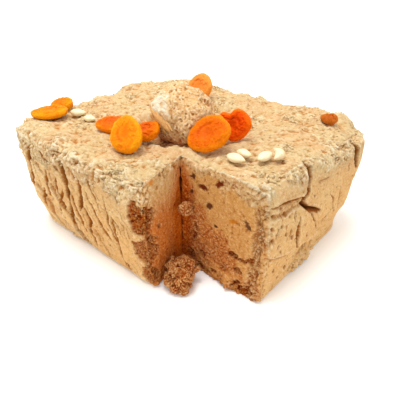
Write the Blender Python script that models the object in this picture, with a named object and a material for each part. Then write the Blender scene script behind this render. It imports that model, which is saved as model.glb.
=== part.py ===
"""Peanut halva: a tapered slab turned out of its mould, with one corner cut away by two knife cuts.

Metres, +Z up. The origin is on the flat base, under the middle of the slab. The cut corner is the
one at +X, -Y. A broken lump of halva, dried apricots and peeled peanuts lie on the top.
"""

import math
import random

import bmesh
import bpy
import numpy as np
from mathutils import Euler, Matrix, Vector, noise
from mathutils.bvhtree import BVHTree

# ---- the slab: a rounded rectangle that narrows downwards, as it came out of the mould ----
HEIGHT = 0.100
# its four corners before rounding, from +X +Y counter-clockwise, and the radius of each
BASE_CORNERS = [(0.115, 0.094), (-0.119, 0.092), (-0.119, -0.090), (0.115, -0.091)]
BASE_RADII = [0.024, 0.034, 0.026, 0.024]
TOP_CORNERS = [(0.129, 0.108), (-0.127, 0.102), (-0.124, -0.109), (0.104, -0.094)]
TOP_RADII = [0.034, 0.058, 0.036, 0.030]
BULGE = 0.003  # the walls swell this much at half height
RIM_ROUND = 0.013
BASE_ROUND = 0.004

# ---- the two knife cuts, which meet in an upright crease ----
CREASE = (0.034, -0.049)
LEFT_CUT_END = (0.044, -0.100)
RIGHT_CUT_END = (0.130, -0.0525)

# ---- the hollow in the top where the lump was broken out and put back ----
DISH_CENTRE = (0.006, 0.004)
DISH_RADIUS = 0.047
DISH_DEPTH = 0.0055
DISH_LIP = 0.007  # width of its edge

# ---- the rest of the top's form ----
# where it climbs or falls: (from, to) along x and along y, and how much
TOP_SLOPES = [
    ((0.030, 0.070), (0.040, 0.100), 0.0030),
    ((0.085, 0.120), (0.030, 0.090), -0.0065),
    ((-0.030, 0.030), (-0.055, -0.095), -0.0035),
]
# its mounds: middle, half sizes and height
TOP_MOUNDS = [
    ((0.088, 0.068), (0.020, 0.016), 0.0025),
    ((-0.098, -0.090), (0.030, 0.012), 0.0035),
]
TOP_ROUGHNESS = 0.0022
DISH_EDGE_WANDER = 0.003

# ---- the rest of the walls' form ----
WALL_ROUGHNESS = 0.0015
WALL_FINE_ROUGHNESS = 0.0007
ROUGH_SIZE, FINE_SIZE = 0.030, 0.012  # how far apart the bumps of each lie
LEDGE_HEIGHT = 0.078  # the right wall stands out above this, as far back as LEDGE_END
LEDGE_END = -0.010
LEDGE_DEPTH = 0.0026
UNDERCUT_HEIGHT = 0.034  # the right wall's back half is drawn in below this
UNDERCUT_START = 0.020
UNDERCUT_DEPTH = 0.0030
FOOT_PLACE = 0.086  # along the right cut, where crumb has piled at its foot
FOOT_WIDTH = 0.024
FOOT_HEIGHT = 0.020
FOOT_DEPTH = 0.0060

# ---- mesh ----
ARC_STEPS = 9
WALL_LEVELS = (0.25, 0.5, 0.7)  # rings between the base and the rim, as shares of the height
VOXEL = 0.0028
BLOCK_FACES = 6600
LUMP_FACES = 1000
NOTCH_LUMP_FACES = 500
CUTTER_REACH = 0.09
CUTTER_MARGIN = 0.02
FLAT_BASE = 0.0006  # points lower than this are put on the base
SHARP_ANGLE = 50
GAP = 0.0003  # between pieces that touch
DROP_HEIGHT = 0.12  # pieces start this high over the top and are lowered

# Fissures on the outer walls. Each is (points as (along the wall, height), half width, depth, lip).
FRONT_FISSURES = [
    ([(-0.082, 0.090), (-0.088, 0.072), (-0.094, 0.056), (-0.101, 0.038)], 0.0034, 0.0080, 0.0012),
    ([(-0.044, 0.080), (-0.040, 0.068), (-0.043, 0.053), (-0.047, 0.034), (-0.045, 0.014),
      (-0.036, 0.006)], 0.0036, 0.0090, 0.0018),
    ([(-0.022, 0.078), (-0.024, 0.064), (-0.031, 0.048)], 0.0032, 0.0065, 0.0014),
    ([(-0.026, 0.055), (-0.022, 0.041), (-0.025, 0.028), (-0.024, 0.010)], 0.0030, 0.0055, 0.0016),
    ([(-0.013, 0.085), (-0.009, 0.071), (-0.004, 0.057)], 0.0022, 0.0030, 0.0010),
    ([(0.003, 0.074), (0.004, 0.060), (0.006, 0.042), (0.010, 0.024)], 0.0024, 0.0036, 0.0012),
    ([(-0.079, 0.051), (-0.084, 0.040), (-0.093, 0.020)], 0.0028, 0.0050, 0.0010),
    ([(-0.048, 0.060), (-0.063, 0.043), (-0.089, 0.012)], 0.0028, 0.0048, 0.0014),
    ([(-0.088, 0.051), (-0.064, 0.061), (-0.045, 0.066)], 0.0024, 0.0028, 0.0016),
    ([(0.012, 0.016), (0.018, 0.003)], 0.0030, 0.0045, 0.0008),
]
RIGHT_FISSURES = [
    ([(0.003, 0.099), (0.000, 0.088), (-0.001, 0.078), (-0.010, 0.073)], 0.0040, 0.0110, 0.0),
    ([(-0.012, 0.075), (0.001, 0.064), (0.024, 0.050)], 0.0034, 0.0080, 0.0010),
    ([(-0.050, 0.084), (-0.034, 0.085), (-0.020, 0.081), (-0.004, 0.077)], 0.0028, 0.0055, 0.0026),
    ([(0.064, 0.096), (0.067, 0.086), (0.074, 0.070)], 0.0032, 0.0090, 0.0010),
    ([(-0.011, 0.063), (-0.012, 0.050), (-0.010, 0.032)], 0.0024, 0.0042, 0.0008),
    ([(0.002, 0.061), (0.011, 0.049), (0.025, 0.031)], 0.0024, 0.0034, 0.0012),
    ([(-0.046, 0.041), (-0.029, 0.034), (-0.007, 0.030), (0.024, 0.026)], 0.0030, 0.0030, 0.0022),
    ([(0.030, 0.030), (0.047, 0.044)], 0.0028, 0.0036, 0.0010),
]
HIDDEN_FISSURES = 7  # on each of the two walls behind, laid out by rule
HIDDEN_SEED = 11

# Torn patches where halva came away with the knife: (wall, along, height, half sizes, depth).
TORN_PATCHES = [
    ("front", 0.036, 0.069, 0.012, 0.015, 0.0060),
    ("front", 0.035, 0.034, 0.013, 0.014, 0.0045),
    ("front", 0.036, 0.012, 0.009, 0.010, 0.0045),
    ("front", -0.050, 0.096, 0.006, 0.007, 0.0040),
    ("front", -0.025, 0.096, 0.005, 0.008, 0.0035),
    ("cut_left", -0.088, 0.066, 0.013, 0.014, 0.0050),
    ("cut_left", -0.083, 0.036, 0.013, 0.013, 0.0045),
    ("cut_left", -0.087, 0.012, 0.011, 0.010, 0.0045),
    ("cut_right", 0.099, 0.006, 0.013, 0.007, 0.0050),
    ("cut_right", 0.093, 0.031, 0.007, 0.005, 0.0035),
    ("cut_right", 0.062, 0.004, 0.012, 0.006, 0.0040),
    ("right", 0.033, 0.030, 0.008, 0.008, 0.0030),
]

# Where the knife left the slab, both upright edges crumbled: (x, y, width, depth) of each.
WORN_EDGES = [(0.0432, -0.0960, 0.014, 0.0050), (0.1130, -0.0522, 0.012, 0.0042)]
RAGGED = 0.9  # how unevenly they crumbled

FRONT_RIGHT = (0.645, -0.764, 0)
FRONT_LEFT = (-0.75, -0.66, 0)
BACK = (-0.645, 0.764, 0)

# The walls as planes: a point on each, the way it faces, and its along direction.
WALLS = {
    "front": ((0, -0.098, 0), (0, -1, 0), (1, 0, 0)),
    "right": ((0.119, 0, 0), (1, 0, 0), (0, 1, 0)),
    "back": ((0, 0.099, 0), (0, 1, 0), (1, 0, 0)),
    "left": ((-0.123, 0, 0), (-1, 0, 0), (0, 1, 0)),
    "cut_left": ((*CREASE, 0), (0.98, 0.19, 0), (0, 1, 0)),
    "cut_right": ((*CREASE, 0), (-0.03, -1.0, 0), (1, 0, 0)),
}
WALL_REACH = 0.016  # how far from its plane a wall's relief still counts

# Toppings: name, place on the top, half sizes, turn about its own three axes in degrees, how
# deep its cleft is and, where it leans on something, the way it slides clear of that.
APRICOTS = [
    ("apricot_front", (0.0350, -0.0167), (0.0176, 0.0142, 0.0052), (48, 0, 40), 0.0, FRONT_RIGHT),
    ("apricot_right", (0.0470, 0.0003), (0.0128, 0.0140, 0.0052), (76, 14, 66), 0.34, FRONT_RIGHT),
    ("apricot_left", (-0.0380, -0.0520), (0.0134, 0.0108, 0.0045), (12, 4, 30), 0.0, None),
    ("apricot_mid_right", (-0.0019, -0.0456), (0.0128, 0.0096, 0.0050), (30, -4, 36), 0.0, FRONT_LEFT),
    ("apricot_middle", (-0.0037, -0.0661), (0.0128, 0.0156, 0.0050), (52, 8, 38), 0.0, FRONT_LEFT),
    ("apricot_back", (-0.0348, 0.0554), (0.0136, 0.0132, 0.0050), (60, 0, 26), 0.0, BACK),
    ("apricot_corner_low", (-0.1012, -0.0696), (0.0160, 0.0120, 0.0044), (3, -5, 40), 0.0, None),
    ("apricot_corner_high", (-0.1070, -0.0545), (0.0098, 0.0092, 0.0050), (12, 0, 40), 0.0, BACK),
    ("apricot_far_right", (0.0936, 0.0713), (0.0068, 0.0060, 0.0036), (12, 8, 30), 0.0, None),
]
PEANUTS = [
    ("peanut_1", (-0.0855, -0.0514), (0.0074, 0.0042, 0.0034), 34, 0.0),
    ("peanut_2", (-0.0675, -0.0528), (0.0056, 0.0042, 0.0030), 20, 0.0),
    ("peanut_3", (0.0729, -0.0322), (0.0078, 0.0044, 0.0034), 4, 0.0),
    ("peanut_4", (0.0731, -0.0224), (0.0066, 0.0040, 0.0032), 0, 0.0),
    ("peanut_5", (0.0876, -0.0165), (0.0078, 0.0044, 0.0034), 86, 0.0),
    ("peanut_6", (0.0940, -0.0076), (0.0082, 0.0038, 0.0036), 126, 0.55),
]
SEAT_MARGIN = 0.004  # the flat place pressed into the top under a topping is this much wider

LUMP_PLACE = (0.0080, -0.0145)
LUMP_TURN = 20
LUMP_SIZE = (0.0252, 0.0240, 0.0264)
LUMP_LOBE = (200, 24, 0.55, 0.24)  # a shoulder: heading and rise in degrees, width, how far it stands out
CREASE_NUGGET_HEIGHT = 0.060
CREASE_NUGGET_RADIUS = 0.0060
NOTCH_LUMP_PLACE = (0.0535, -0.0735)
NOTCH_LUMP_TURN = 38
NOTCH_LUMP_SIZE = (0.0125, 0.0168, 0.0135)


# ---------------------------------------------------------------- small helpers

def clear_scene():
    for old in list(bpy.data.objects):
        bpy.data.objects.remove(old, do_unlink=True)


def material(name, colour, roughness):
    made = bpy.data.materials.new(name)
    made.use_nodes = True
    shader = made.node_tree.nodes["Principled BSDF"]
    shader.inputs["Base Color"].default_value = (*colour, 1)
    shader.inputs["Roughness"].default_value = roughness
    shader.inputs["Metallic"].default_value = 0.0
    return made


def add_object(name, mesh, finish):
    made = bpy.data.objects.new(name, mesh)
    bpy.context.scene.collection.objects.link(made)
    made.data.materials.append(finish)
    return made


def bake_modifiers(piece):
    """The piece's mesh as its modifiers leave it, with none left on it."""
    bpy.context.view_layer.update()
    evaluated = piece.evaluated_get(bpy.context.evaluated_depsgraph_get())
    mesh = bpy.data.meshes.new_from_object(evaluated)
    old = piece.data
    piece.modifiers.clear()
    piece.data = mesh
    bpy.data.meshes.remove(old)


def read_points(mesh):
    points = np.zeros(len(mesh.vertices) * 3, np.float32)
    mesh.vertices.foreach_get("co", points)
    return points.reshape(-1, 3).astype(float)


def read_normals(mesh):
    normals = np.zeros(len(mesh.vertices) * 3, np.float32)
    mesh.vertices.foreach_get("normal", normals)
    return normals.reshape(-1, 3).astype(float)


def write_points(mesh, points):
    mesh.vertices.foreach_set("co", points.astype(np.float32).ravel())
    mesh.update()


def smoothstep(low, high, value):
    t = np.clip((value - low) / (high - low), 0, 1)
    return t * t * (3 - 2 * t)


def fractal(points, wavelength, octaves, offset):
    """Fractal noise of about -1 to 1 at each point."""
    at = Vector((offset, 1.7 * offset, -0.6 * offset))
    return np.array([
        noise.fractal(Vector(p) / wavelength + at, 1.0, 2.0, octaves) for p in points
    ])


# ---------------------------------------------------------------- the slab's plain form

def rounded_outline(corners, radii):
    """A closed outline with each corner replaced by an arc that touches both its sides."""
    points = []
    for i, (corner, radius) in enumerate(zip(corners, radii)):
        here = Vector(corner)
        before = (Vector(corners[i - 1]) - here).normalized()
        after = (Vector(corners[(i + 1) % len(corners)]) - here).normalized()
        half = before.angle(after) / 2
        centre = here + (before + after).normalized() * radius / math.sin(half)
        start = here + before * radius / math.tan(half) - centre
        sweep = math.pi - 2 * half
        for step in range(ARC_STEPS):
            turned = start.copy()
            turned.rotate(Matrix.Rotation(sweep * step / (ARC_STEPS - 1), 2))
            points.append(tuple(centre + turned))
    return points


def drawn_in(corners, inset):
    """The corners moved so that every side lies `inset` further in."""
    moved = []
    for i, corner in enumerate(corners):
        here = Vector(corner)
        before = (Vector(corners[i - 1]) - here).normalized()
        after = (Vector(corners[(i + 1) % len(corners)]) - here).normalized()
        half = before.angle(after) / 2
        moved.append(tuple(here + (before + after).normalized() * inset / math.sin(half)))
    return moved


def slab_ring(height):
    """The slab's outline at a height, drawn in where the rim and the base are rounded."""
    share = height / HEIGHT
    inset = -BULGE * 4 * share * (1 - share)
    if height > HEIGHT - RIM_ROUND:
        up = height - (HEIGHT - RIM_ROUND)
        inset += RIM_ROUND - math.sqrt(max(RIM_ROUND**2 - up**2, 0))
    if height < BASE_ROUND:
        down = BASE_ROUND - height
        inset += BASE_ROUND - math.sqrt(max(BASE_ROUND**2 - down**2, 0))
    corners = [
        (b[0] + (t[0] - b[0]) * share, b[1] + (t[1] - b[1]) * share)
        for b, t in zip(BASE_CORNERS, TOP_CORNERS)
    ]
    radii = [b + (t - b) * share - inset for b, t in zip(BASE_RADII, TOP_RADII)]
    return rounded_outline(drawn_in(corners, inset), radii)


def slab_levels():
    turns = [math.radians(a) for a in (0, 30, 60, 90)]
    low = [BASE_ROUND * (1 - math.cos(a)) for a in turns]
    high = [HEIGHT - RIM_ROUND * (1 - math.sin(a)) for a in turns]
    return low + [HEIGHT * s for s in WALL_LEVELS] + high


def plain_slab(finish):
    """The uncut slab: rings of the outline bridged from the base to the rim, and two flat caps."""
    shape = bmesh.new()
    rings = []
    for height in slab_levels():
        rings.append([shape.verts.new((x, y, height)) for x, y in slab_ring(height)])
    for below, above in zip(rings, rings[1:]):
        count = len(below)
        for i in range(count):
            j = (i + 1) % count
            shape.faces.new((below[i], below[j], above[j], above[i]))
    shape.faces.new(list(reversed(rings[0])))
    shape.faces.new(rings[-1])
    mesh = bpy.data.meshes.new("halva_block")
    shape.to_mesh(mesh)
    shape.free()
    return add_object("halva_block", mesh, finish)


def notch_cutter(finish):
    """The prism between the two knife cuts, taller and wider than the slab."""
    beyond = (RIGHT_CUT_END[0] + CUTTER_REACH, LEFT_CUT_END[1] - CUTTER_REACH)
    outline = [
        CREASE,
        LEFT_CUT_END,
        (LEFT_CUT_END[0] + 0.01, beyond[1]),
        beyond,
        (beyond[0], RIGHT_CUT_END[1]),
        RIGHT_CUT_END,
    ]
    shape = bmesh.new()
    floor = [shape.verts.new((x, y, -CUTTER_MARGIN)) for x, y in outline]
    face = shape.faces.new(floor)
    grown = bmesh.ops.extrude_face_region(shape, geom=[face])
    lifted = [v for v in grown["geom"] if isinstance(v, bmesh.types.BMVert)]
    bmesh.ops.translate(shape, verts=lifted, vec=(0, 0, HEIGHT + 2 * CUTTER_MARGIN))
    bmesh.ops.recalc_face_normals(shape, faces=shape.faces[:])
    mesh = bpy.data.meshes.new("notch_cutter")
    shape.to_mesh(mesh)
    shape.free()
    return add_object("notch_cutter", mesh, finish)


# ---------------------------------------------------------------- relief in the slab

def wall_share(points, normals, wall):
    """How far each point belongs to a wall, from 0 to 1, with its place along it and its height."""
    anchor, facing, along = (np.array(v, float) for v in WALLS[wall])
    distance = np.abs((points - anchor) @ facing)
    share = smoothstep(0.35, 0.75, normals @ facing)
    share *= 1 - smoothstep(WALL_REACH * 0.75, WALL_REACH, distance)
    return share, points @ along, points[:, 2]


def fissure_depth(u, z, points, half_width, depth, lip):
    """Displacement of a crack along a polyline: a V that thins towards its ends, with a raised side."""
    best = np.full(len(u), 1e9)
    side = np.zeros(len(u))
    travelled = np.zeros(len(u))
    total = sum(math.dist(a, b) for a, b in zip(points, points[1:]))
    done = 0.0
    for (u0, z0), (u1, z1) in zip(points, points[1:]):
        length = math.dist((u0, z0), (u1, z1))
        du, dz = (u1 - u0) / length, (z1 - z0) / length
        t = np.clip((u - u0) * du + (z - z0) * dz, 0, length)
        off_u, off_z = u - u0 - t * du, z - z0 - t * dz
        away = np.hypot(off_u, off_z)
        nearer = away < best
        best = np.where(nearer, away, best)
        side = np.where(nearer, off_u * dz - off_z * du, side)
        travelled = np.where(nearer, (done + t) / total, travelled)
        done += length
    taper = 0.35 + 0.65 * np.sqrt(np.clip(4 * travelled * (1 - travelled), 0, 1))
    width = half_width * taper
    cut = -depth * taper * np.clip(1 - best / width, 0, 1) ** 0.8
    raised = lip * taper * np.exp(-((side + 1.6 * width) / (1.2 * width)) ** 2)
    return cut + raised * (best < 4 * width)


def hidden_fissures(wall):
    """Steep slanting fissures for a wall behind, spread evenly along it."""
    draw = random.Random(HIDDEN_SEED + len(wall))
    reach = 0.085 if wall == "left" else 0.100
    made = []
    for i in range(HIDDEN_FISSURES):
        u = -reach + 2 * reach * (i + 0.5 + draw.uniform(-0.3, 0.3)) / HIDDEN_FISSURES
        top = draw.uniform(0.060, 0.088)
        drop = draw.uniform(0.030, 0.055)
        lean = draw.uniform(-0.004, 0.016)
        middle = (u + 0.5 * lean + draw.uniform(-0.003, 0.003), top - 0.5 * drop)
        points = [(u, top), middle, (u + lean, top - drop)]
        made.append((points, draw.uniform(0.0022, 0.0034), draw.uniform(0.003, 0.006), 0.001))
    return made


def torn_depth(u, z, rough, centre_u, centre_z, half_u, half_z, depth):
    """Displacement of a ragged torn hollow."""
    reach = np.hypot((u - centre_u) / half_u, (z - centre_z) / half_z) + 0.35 * rough
    return -depth * (1 - smoothstep(0.55, 1.05, reach)) * (1 + 0.5 * rough)


def top_height(points, rough):
    """How far the top stands above or below its plane: the hollow, mounds and pressed seats."""
    x, y = points[:, 0], points[:, 1]
    from_dish = np.hypot(x - DISH_CENTRE[0], y - DISH_CENTRE[1]) + DISH_EDGE_WANDER * rough
    dish = 1 - smoothstep(DISH_RADIUS - DISH_LIP, DISH_RADIUS, from_dish)
    height = -DISH_DEPTH * dish + TOP_ROUGHNESS * rough * (1 - 0.5 * dish)
    for x_span, y_span, climb in TOP_SLOPES:
        height += climb * smoothstep(*x_span, x) * smoothstep(*y_span, y)
    for (middle_x, middle_y), (half_x, half_y), tall in TOP_MOUNDS:
        height += tall * np.exp(-(((x - middle_x) / half_x) ** 2 + ((y - middle_y) / half_y) ** 2))
    return height


def seat_share(points):
    """1 under a topping and 0 away from it, so that the top is level where something lies."""
    share = np.zeros(len(points))
    places = [(p, max(s[:2])) for _, p, s, *_ in APRICOTS + PEANUTS]
    for (px, py), size in places:
        away = np.hypot(points[:, 0] - px, points[:, 1] - py)
        share = np.maximum(share, 1 - smoothstep(size, size + SEAT_MARGIN, away))
    return share


def worn_shift(points):
    """How far each point near an upright edge of the notch is moved into the slab."""
    ragged = fractal(points, 0.016, 3, 12.4)
    shift = np.zeros(len(points))
    for x, y, width, depth in WORN_EDGES:
        away = np.hypot(points[:, 0] - x, points[:, 1] - y)
        shift += (1 - smoothstep(0, width, away)) * depth * (0.8 + RAGGED * ragged)
    return shift * (0.25 + 0.75 * smoothstep(0.002, 0.025, points[:, 2]))


def carve(mesh):
    """Moves the slab's points along their normals by the relief. The base stays flat."""
    points, normals = read_points(mesh), read_normals(mesh)
    rough = fractal(points, ROUGH_SIZE, 4, 3.1)
    fine = fractal(points, FINE_SIZE, 3, 8.3)

    upward = smoothstep(0.35, 0.8, normals[:, 2])
    level = 1 - 0.75 * seat_share(points)
    move = upward * top_height(points, rough * level)
    move += (1 - upward) * (WALL_ROUGHNESS * rough + WALL_FINE_ROUGHNESS * fine)

    fissures = {"front": FRONT_FISSURES, "right": RIGHT_FISSURES}
    for wall in ("back", "left"):
        fissures[wall] = hidden_fissures(wall)
    for wall, cracks in fissures.items():
        share, u, z = wall_share(points, normals, wall)
        for crack in cracks:
            move += share * fissure_depth(u, z, *crack)
    for wall, *patch in TORN_PATCHES:
        share, u, z = wall_share(points, normals, wall)
        move += share * torn_depth(u, z, fine, *patch)

    share, u, z = wall_share(points, normals, "right")
    ledge = smoothstep(LEDGE_HEIGHT, LEDGE_HEIGHT + 0.005, z) * (1 - smoothstep(LEDGE_END, 0, u))
    under = 1 - smoothstep(UNDERCUT_START, UNDERCUT_HEIGHT, z)
    move += share * LEDGE_DEPTH * ledge
    move -= share * UNDERCUT_DEPTH * under * smoothstep(UNDERCUT_START, UNDERCUT_HEIGHT, u)
    share, u, z = wall_share(points, normals, "cut_right")
    foot = (1 - smoothstep(0, FOOT_HEIGHT, z)) * np.exp(-(((u - FOOT_PLACE) / FOOT_WIDTH) ** 2))
    move += share * FOOT_DEPTH * foot * (1 + rough)

    off_base = smoothstep(0.0008, 0.006, points[:, 2])
    facing_down = smoothstep(-0.5, -0.9, normals[:, 2])
    move *= off_base * (1 - facing_down)
    worn = worn_shift(points)
    points += normals * move[:, None]
    points[:, 0] -= 0.707 * worn
    points[:, 1] += 0.707 * worn
    write_points(mesh, points)


def decimate(piece, faces):
    triangles = sum(len(p.vertices) - 2 for p in piece.data.polygons)
    reduce = piece.modifiers.new("reduce", "DECIMATE")
    reduce.ratio = min(1.0, faces / triangles)
    reduce.use_collapse_triangulate = True
    bake_modifiers(piece)


def flatten_base(mesh):
    points = read_points(mesh)
    points[points[:, 2] < FLAT_BASE, 2] = 0.0
    write_points(mesh, points)


def halva_block(finish):
    block = plain_slab(finish)
    cutter = notch_cutter(finish)
    cut = block.modifiers.new("knife_cuts", "BOOLEAN")
    cut.operation = "DIFFERENCE"
    cut.object = cutter
    remesh = block.modifiers.new("even_faces", "REMESH")
    remesh.mode = "VOXEL"
    remesh.voxel_size = VOXEL
    bake_modifiers(block)
    bpy.data.objects.remove(cutter, do_unlink=True)
    carve(block.data)
    decimate(block, BLOCK_FACES)
    flatten_base(block.data)
    return block


# ---------------------------------------------------------------- lumps, apricots and peanuts

def ball_mesh(name, subdivisions):
    shape = bmesh.new()
    bmesh.ops.create_icosphere(shape, subdivisions=subdivisions, radius=1.0)
    mesh = bpy.data.meshes.new(name)
    shape.to_mesh(mesh)
    shape.free()
    return mesh


def shoulder(points, heading, rise, width, amount):
    """How far a lobe makes each point of a unit ball stand out, as a share of its radius."""
    heading, rise = math.radians(heading), math.radians(rise)
    towards = (math.cos(heading) * math.cos(rise), math.sin(heading) * math.cos(rise), math.sin(rise))
    away = np.arccos(np.clip(points @ np.array(towards), -1, 1))
    return amount * np.exp(-((away / width) ** 2))


def lump(name, size, offset, crag, flat, finish, subdivisions=4, lobe=None):
    """A broken lump: a ball with crags, cut off flat at `flat` of its half height below the middle."""
    mesh = ball_mesh(name, subdivisions)
    points = read_points(mesh)
    coarse = fractal(points, 0.9, 3, offset)
    fine = fractal(points, 0.32, 2, offset + 5)
    stands_out = shoulder(points, *lobe) if lobe else 0
    points *= (1 + crag * coarse + 0.35 * crag * fine + stands_out)[:, None]
    points *= np.array(size)
    points[:, 2] = np.maximum(points[:, 2], -flat * size[2])
    write_points(mesh, points)
    return add_object(name, mesh, finish)


def apricot_points(points, half_sizes, cleft):
    """A dried apricot from a unit ball: a cushion with a hollow in the middle and a wavy rim."""
    turn = np.arctan2(points[:, 1], points[:, 0])
    across = np.clip(np.hypot(points[:, 0], points[:, 1]), 0, 1)
    outline = 1 + 0.035 * np.cos(2 * turn + 0.6) + 0.030 * np.cos(3 * turn + 1.9)
    outline -= cleft * np.exp(-((turn - 0.9) / 0.42) ** 2)
    thick = np.sign(points[:, 2]) * np.abs(points[:, 2]) ** 0.8
    hollow = 0.42 * np.exp(-((across / 0.42) ** 2))
    thick -= np.where(points[:, 2] > 0, hollow, -0.5 * hollow)
    shaped = np.column_stack((
        points[:, 0] * outline * half_sizes[0],
        points[:, 1] * outline * half_sizes[1],
        thick * half_sizes[2],
    ))
    shaped[:, 2] += 0.16 * half_sizes[2] * across**2 * np.cos(2 * turn - 0.5)
    return shaped


def apricot(name, half_sizes, cleft, finish):
    mesh = ball_mesh(name, 3)
    write_points(mesh, apricot_points(read_points(mesh), half_sizes, cleft))
    return add_object(name, mesh, finish)


def peanut(name, half_sizes, bend, finish):
    """A peeled peanut half: a long drop, narrower at its germ end, bent where it curled."""
    shape = bmesh.new()
    bmesh.ops.create_uvsphere(shape, u_segments=12, v_segments=8, radius=1.0)
    mesh = bpy.data.meshes.new(name)
    shape.to_mesh(mesh)
    shape.free()
    x, y, z = read_points(mesh).T
    # the ball's poles become the nut's two ends
    along, across, up = z, x, y
    taper = 1 - 0.22 * along
    points = np.column_stack((
        along * half_sizes[0],
        across * taper * half_sizes[1] + bend * half_sizes[0] * along**2,
        up * taper * half_sizes[2],
    ))
    write_points(mesh, points)
    return add_object(name, mesh, finish)


# ---------------------------------------------------------------- laying things down

def tree_of(piece):
    bpy.context.view_layer.update()
    mesh = piece.data
    points = [piece.matrix_world @ v.co for v in mesh.vertices]
    return points, BVHTree.FromPolygons(points, [p.vertices[:] for p in mesh.polygons])


def travel(piece, direction, supports, reach=0.3):
    """How far the piece can move along a direction before it first touches a support."""
    direction = Vector(direction).normalized()
    points, tree = tree_of(piece)
    free = reach
    for support in supports:
        their_points, their_tree = tree_of(support)
        for p in points:
            hit = their_tree.ray_cast(p, direction, free)
            if hit[3] is not None:
                free = min(free, hit[3])
        for p in their_points:
            hit = tree.ray_cast(p, -direction, free)
            if hit[3] is not None:
                free = min(free, hit[3])
    return free


def move_until_touching(piece, direction, supports):
    """Moves the piece along a direction until GAP is left, then back until nothing overlaps."""
    direction = Vector(direction).normalized()
    piece.location += direction * (travel(piece, direction, supports) - GAP)
    for _ in range(60):
        _, tree = tree_of(piece)
        if not any(tree.overlap(tree_of(s)[1]) for s in supports):
            return
        piece.location -= direction * 0.5 * GAP


def lay_down(piece, place, turn_degrees, block, others, clear=None):
    """Turns the piece and sets it down. One that leans slides clear of what it leans on."""
    turn = Euler([math.radians(a) for a in turn_degrees], "ZYX")
    piece.rotation_euler = turn.to_matrix().to_euler("XYZ")
    piece.location = (*place, HEIGHT + DROP_HEIGHT)
    if clear is None:
        move_until_touching(piece, (0, 0, -1), [block] + others)
        return
    step = Vector(clear) * GAP
    move_until_touching(piece, (0, 0, -1), [block])
    trees = [tree_of(o)[1] for o in others]
    for _ in range(150):
        _, tree = tree_of(piece)
        if not any(tree.overlap(t) for t in trees):
            break
        piece.location += step
    piece.location += step
    piece.location.z += 0.02
    move_until_touching(piece, (0, 0, -1), [block])


def main():
    clear_scene()
    halva = material("halva", (0.66, 0.42, 0.21), 0.75)
    fruit = material("apricot", (0.90, 0.27, 0.01), 0.40)
    nut = material("peanut", (0.88, 0.70, 0.42), 0.45)

    block = halva_block(halva)

    top_lump = lump("halva_lump", LUMP_SIZE, 2.4, 0.16, 0.62, halva, lobe=LUMP_LOBE)
    decimate(top_lump, LUMP_FACES)
    lay_down(top_lump, LUMP_PLACE, (0, 0, LUMP_TURN), block, [])

    nugget = lump("crease_nugget", [CREASE_NUGGET_RADIUS] * 3, 7.7, 0.10, 2.0, halva, 3)
    nugget.location = (CREASE[0] + 0.034, CREASE[1] - 0.03, CREASE_NUGGET_HEIGHT)
    move_until_touching(nugget, (-1, 1, 0), [block])

    notch_lump = lump("notch_lump", NOTCH_LUMP_SIZE, 4.9, 0.22, 0.80, halva)
    decimate(notch_lump, NOTCH_LUMP_FACES)
    bpy.context.view_layer.update()
    lowest = min(v.co.z for v in notch_lump.data.vertices)
    notch_lump.location = (*NOTCH_LUMP_PLACE, -lowest)
    notch_lump.rotation_euler = (0, 0, math.radians(NOTCH_LUMP_TURN))

    laid = [top_lump]
    for name, place, half_sizes, turn, cleft, clear in APRICOTS:
        piece = apricot(name, half_sizes, cleft, fruit)
        lay_down(piece, place, turn, block, laid, clear)
        laid.append(piece)
    for name, place, half_sizes, heading, bend in PEANUTS:
        piece = peanut(name, half_sizes, bend, nut)
        lay_down(piece, place, (0, 0, heading), block, laid)
        laid.append(piece)

    for piece in bpy.data.objects:
        if piece.type == "MESH":
            piece.data.shade_smooth()
            piece.data.set_sharp_from_angle(angle=math.radians(SHARP_ANGLE))


main()
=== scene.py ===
import math
import random
from functools import reduce

import bmesh
import bpy
import numpy as np
from mathutils import Euler, Matrix, Quaternion, Vector, kdtree, noise


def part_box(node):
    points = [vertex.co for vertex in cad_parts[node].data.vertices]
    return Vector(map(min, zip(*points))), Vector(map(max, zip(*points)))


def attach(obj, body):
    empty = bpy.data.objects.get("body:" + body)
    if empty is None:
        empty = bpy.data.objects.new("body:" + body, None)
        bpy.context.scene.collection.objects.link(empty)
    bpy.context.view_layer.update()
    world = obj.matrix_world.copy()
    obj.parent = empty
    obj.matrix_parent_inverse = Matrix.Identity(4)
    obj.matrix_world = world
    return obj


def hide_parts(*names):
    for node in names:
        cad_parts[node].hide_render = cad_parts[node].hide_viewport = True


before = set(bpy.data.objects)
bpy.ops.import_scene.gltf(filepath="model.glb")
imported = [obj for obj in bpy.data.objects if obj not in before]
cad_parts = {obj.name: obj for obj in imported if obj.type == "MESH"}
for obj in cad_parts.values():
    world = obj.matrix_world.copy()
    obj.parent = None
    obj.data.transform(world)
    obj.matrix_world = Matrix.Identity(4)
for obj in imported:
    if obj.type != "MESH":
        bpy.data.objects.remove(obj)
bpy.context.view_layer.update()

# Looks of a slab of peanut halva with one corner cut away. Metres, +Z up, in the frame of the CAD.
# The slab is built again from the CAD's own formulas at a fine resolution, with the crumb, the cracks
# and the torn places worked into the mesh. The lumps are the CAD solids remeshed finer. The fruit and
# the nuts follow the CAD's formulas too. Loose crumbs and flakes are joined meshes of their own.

MM = 0.001

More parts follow.
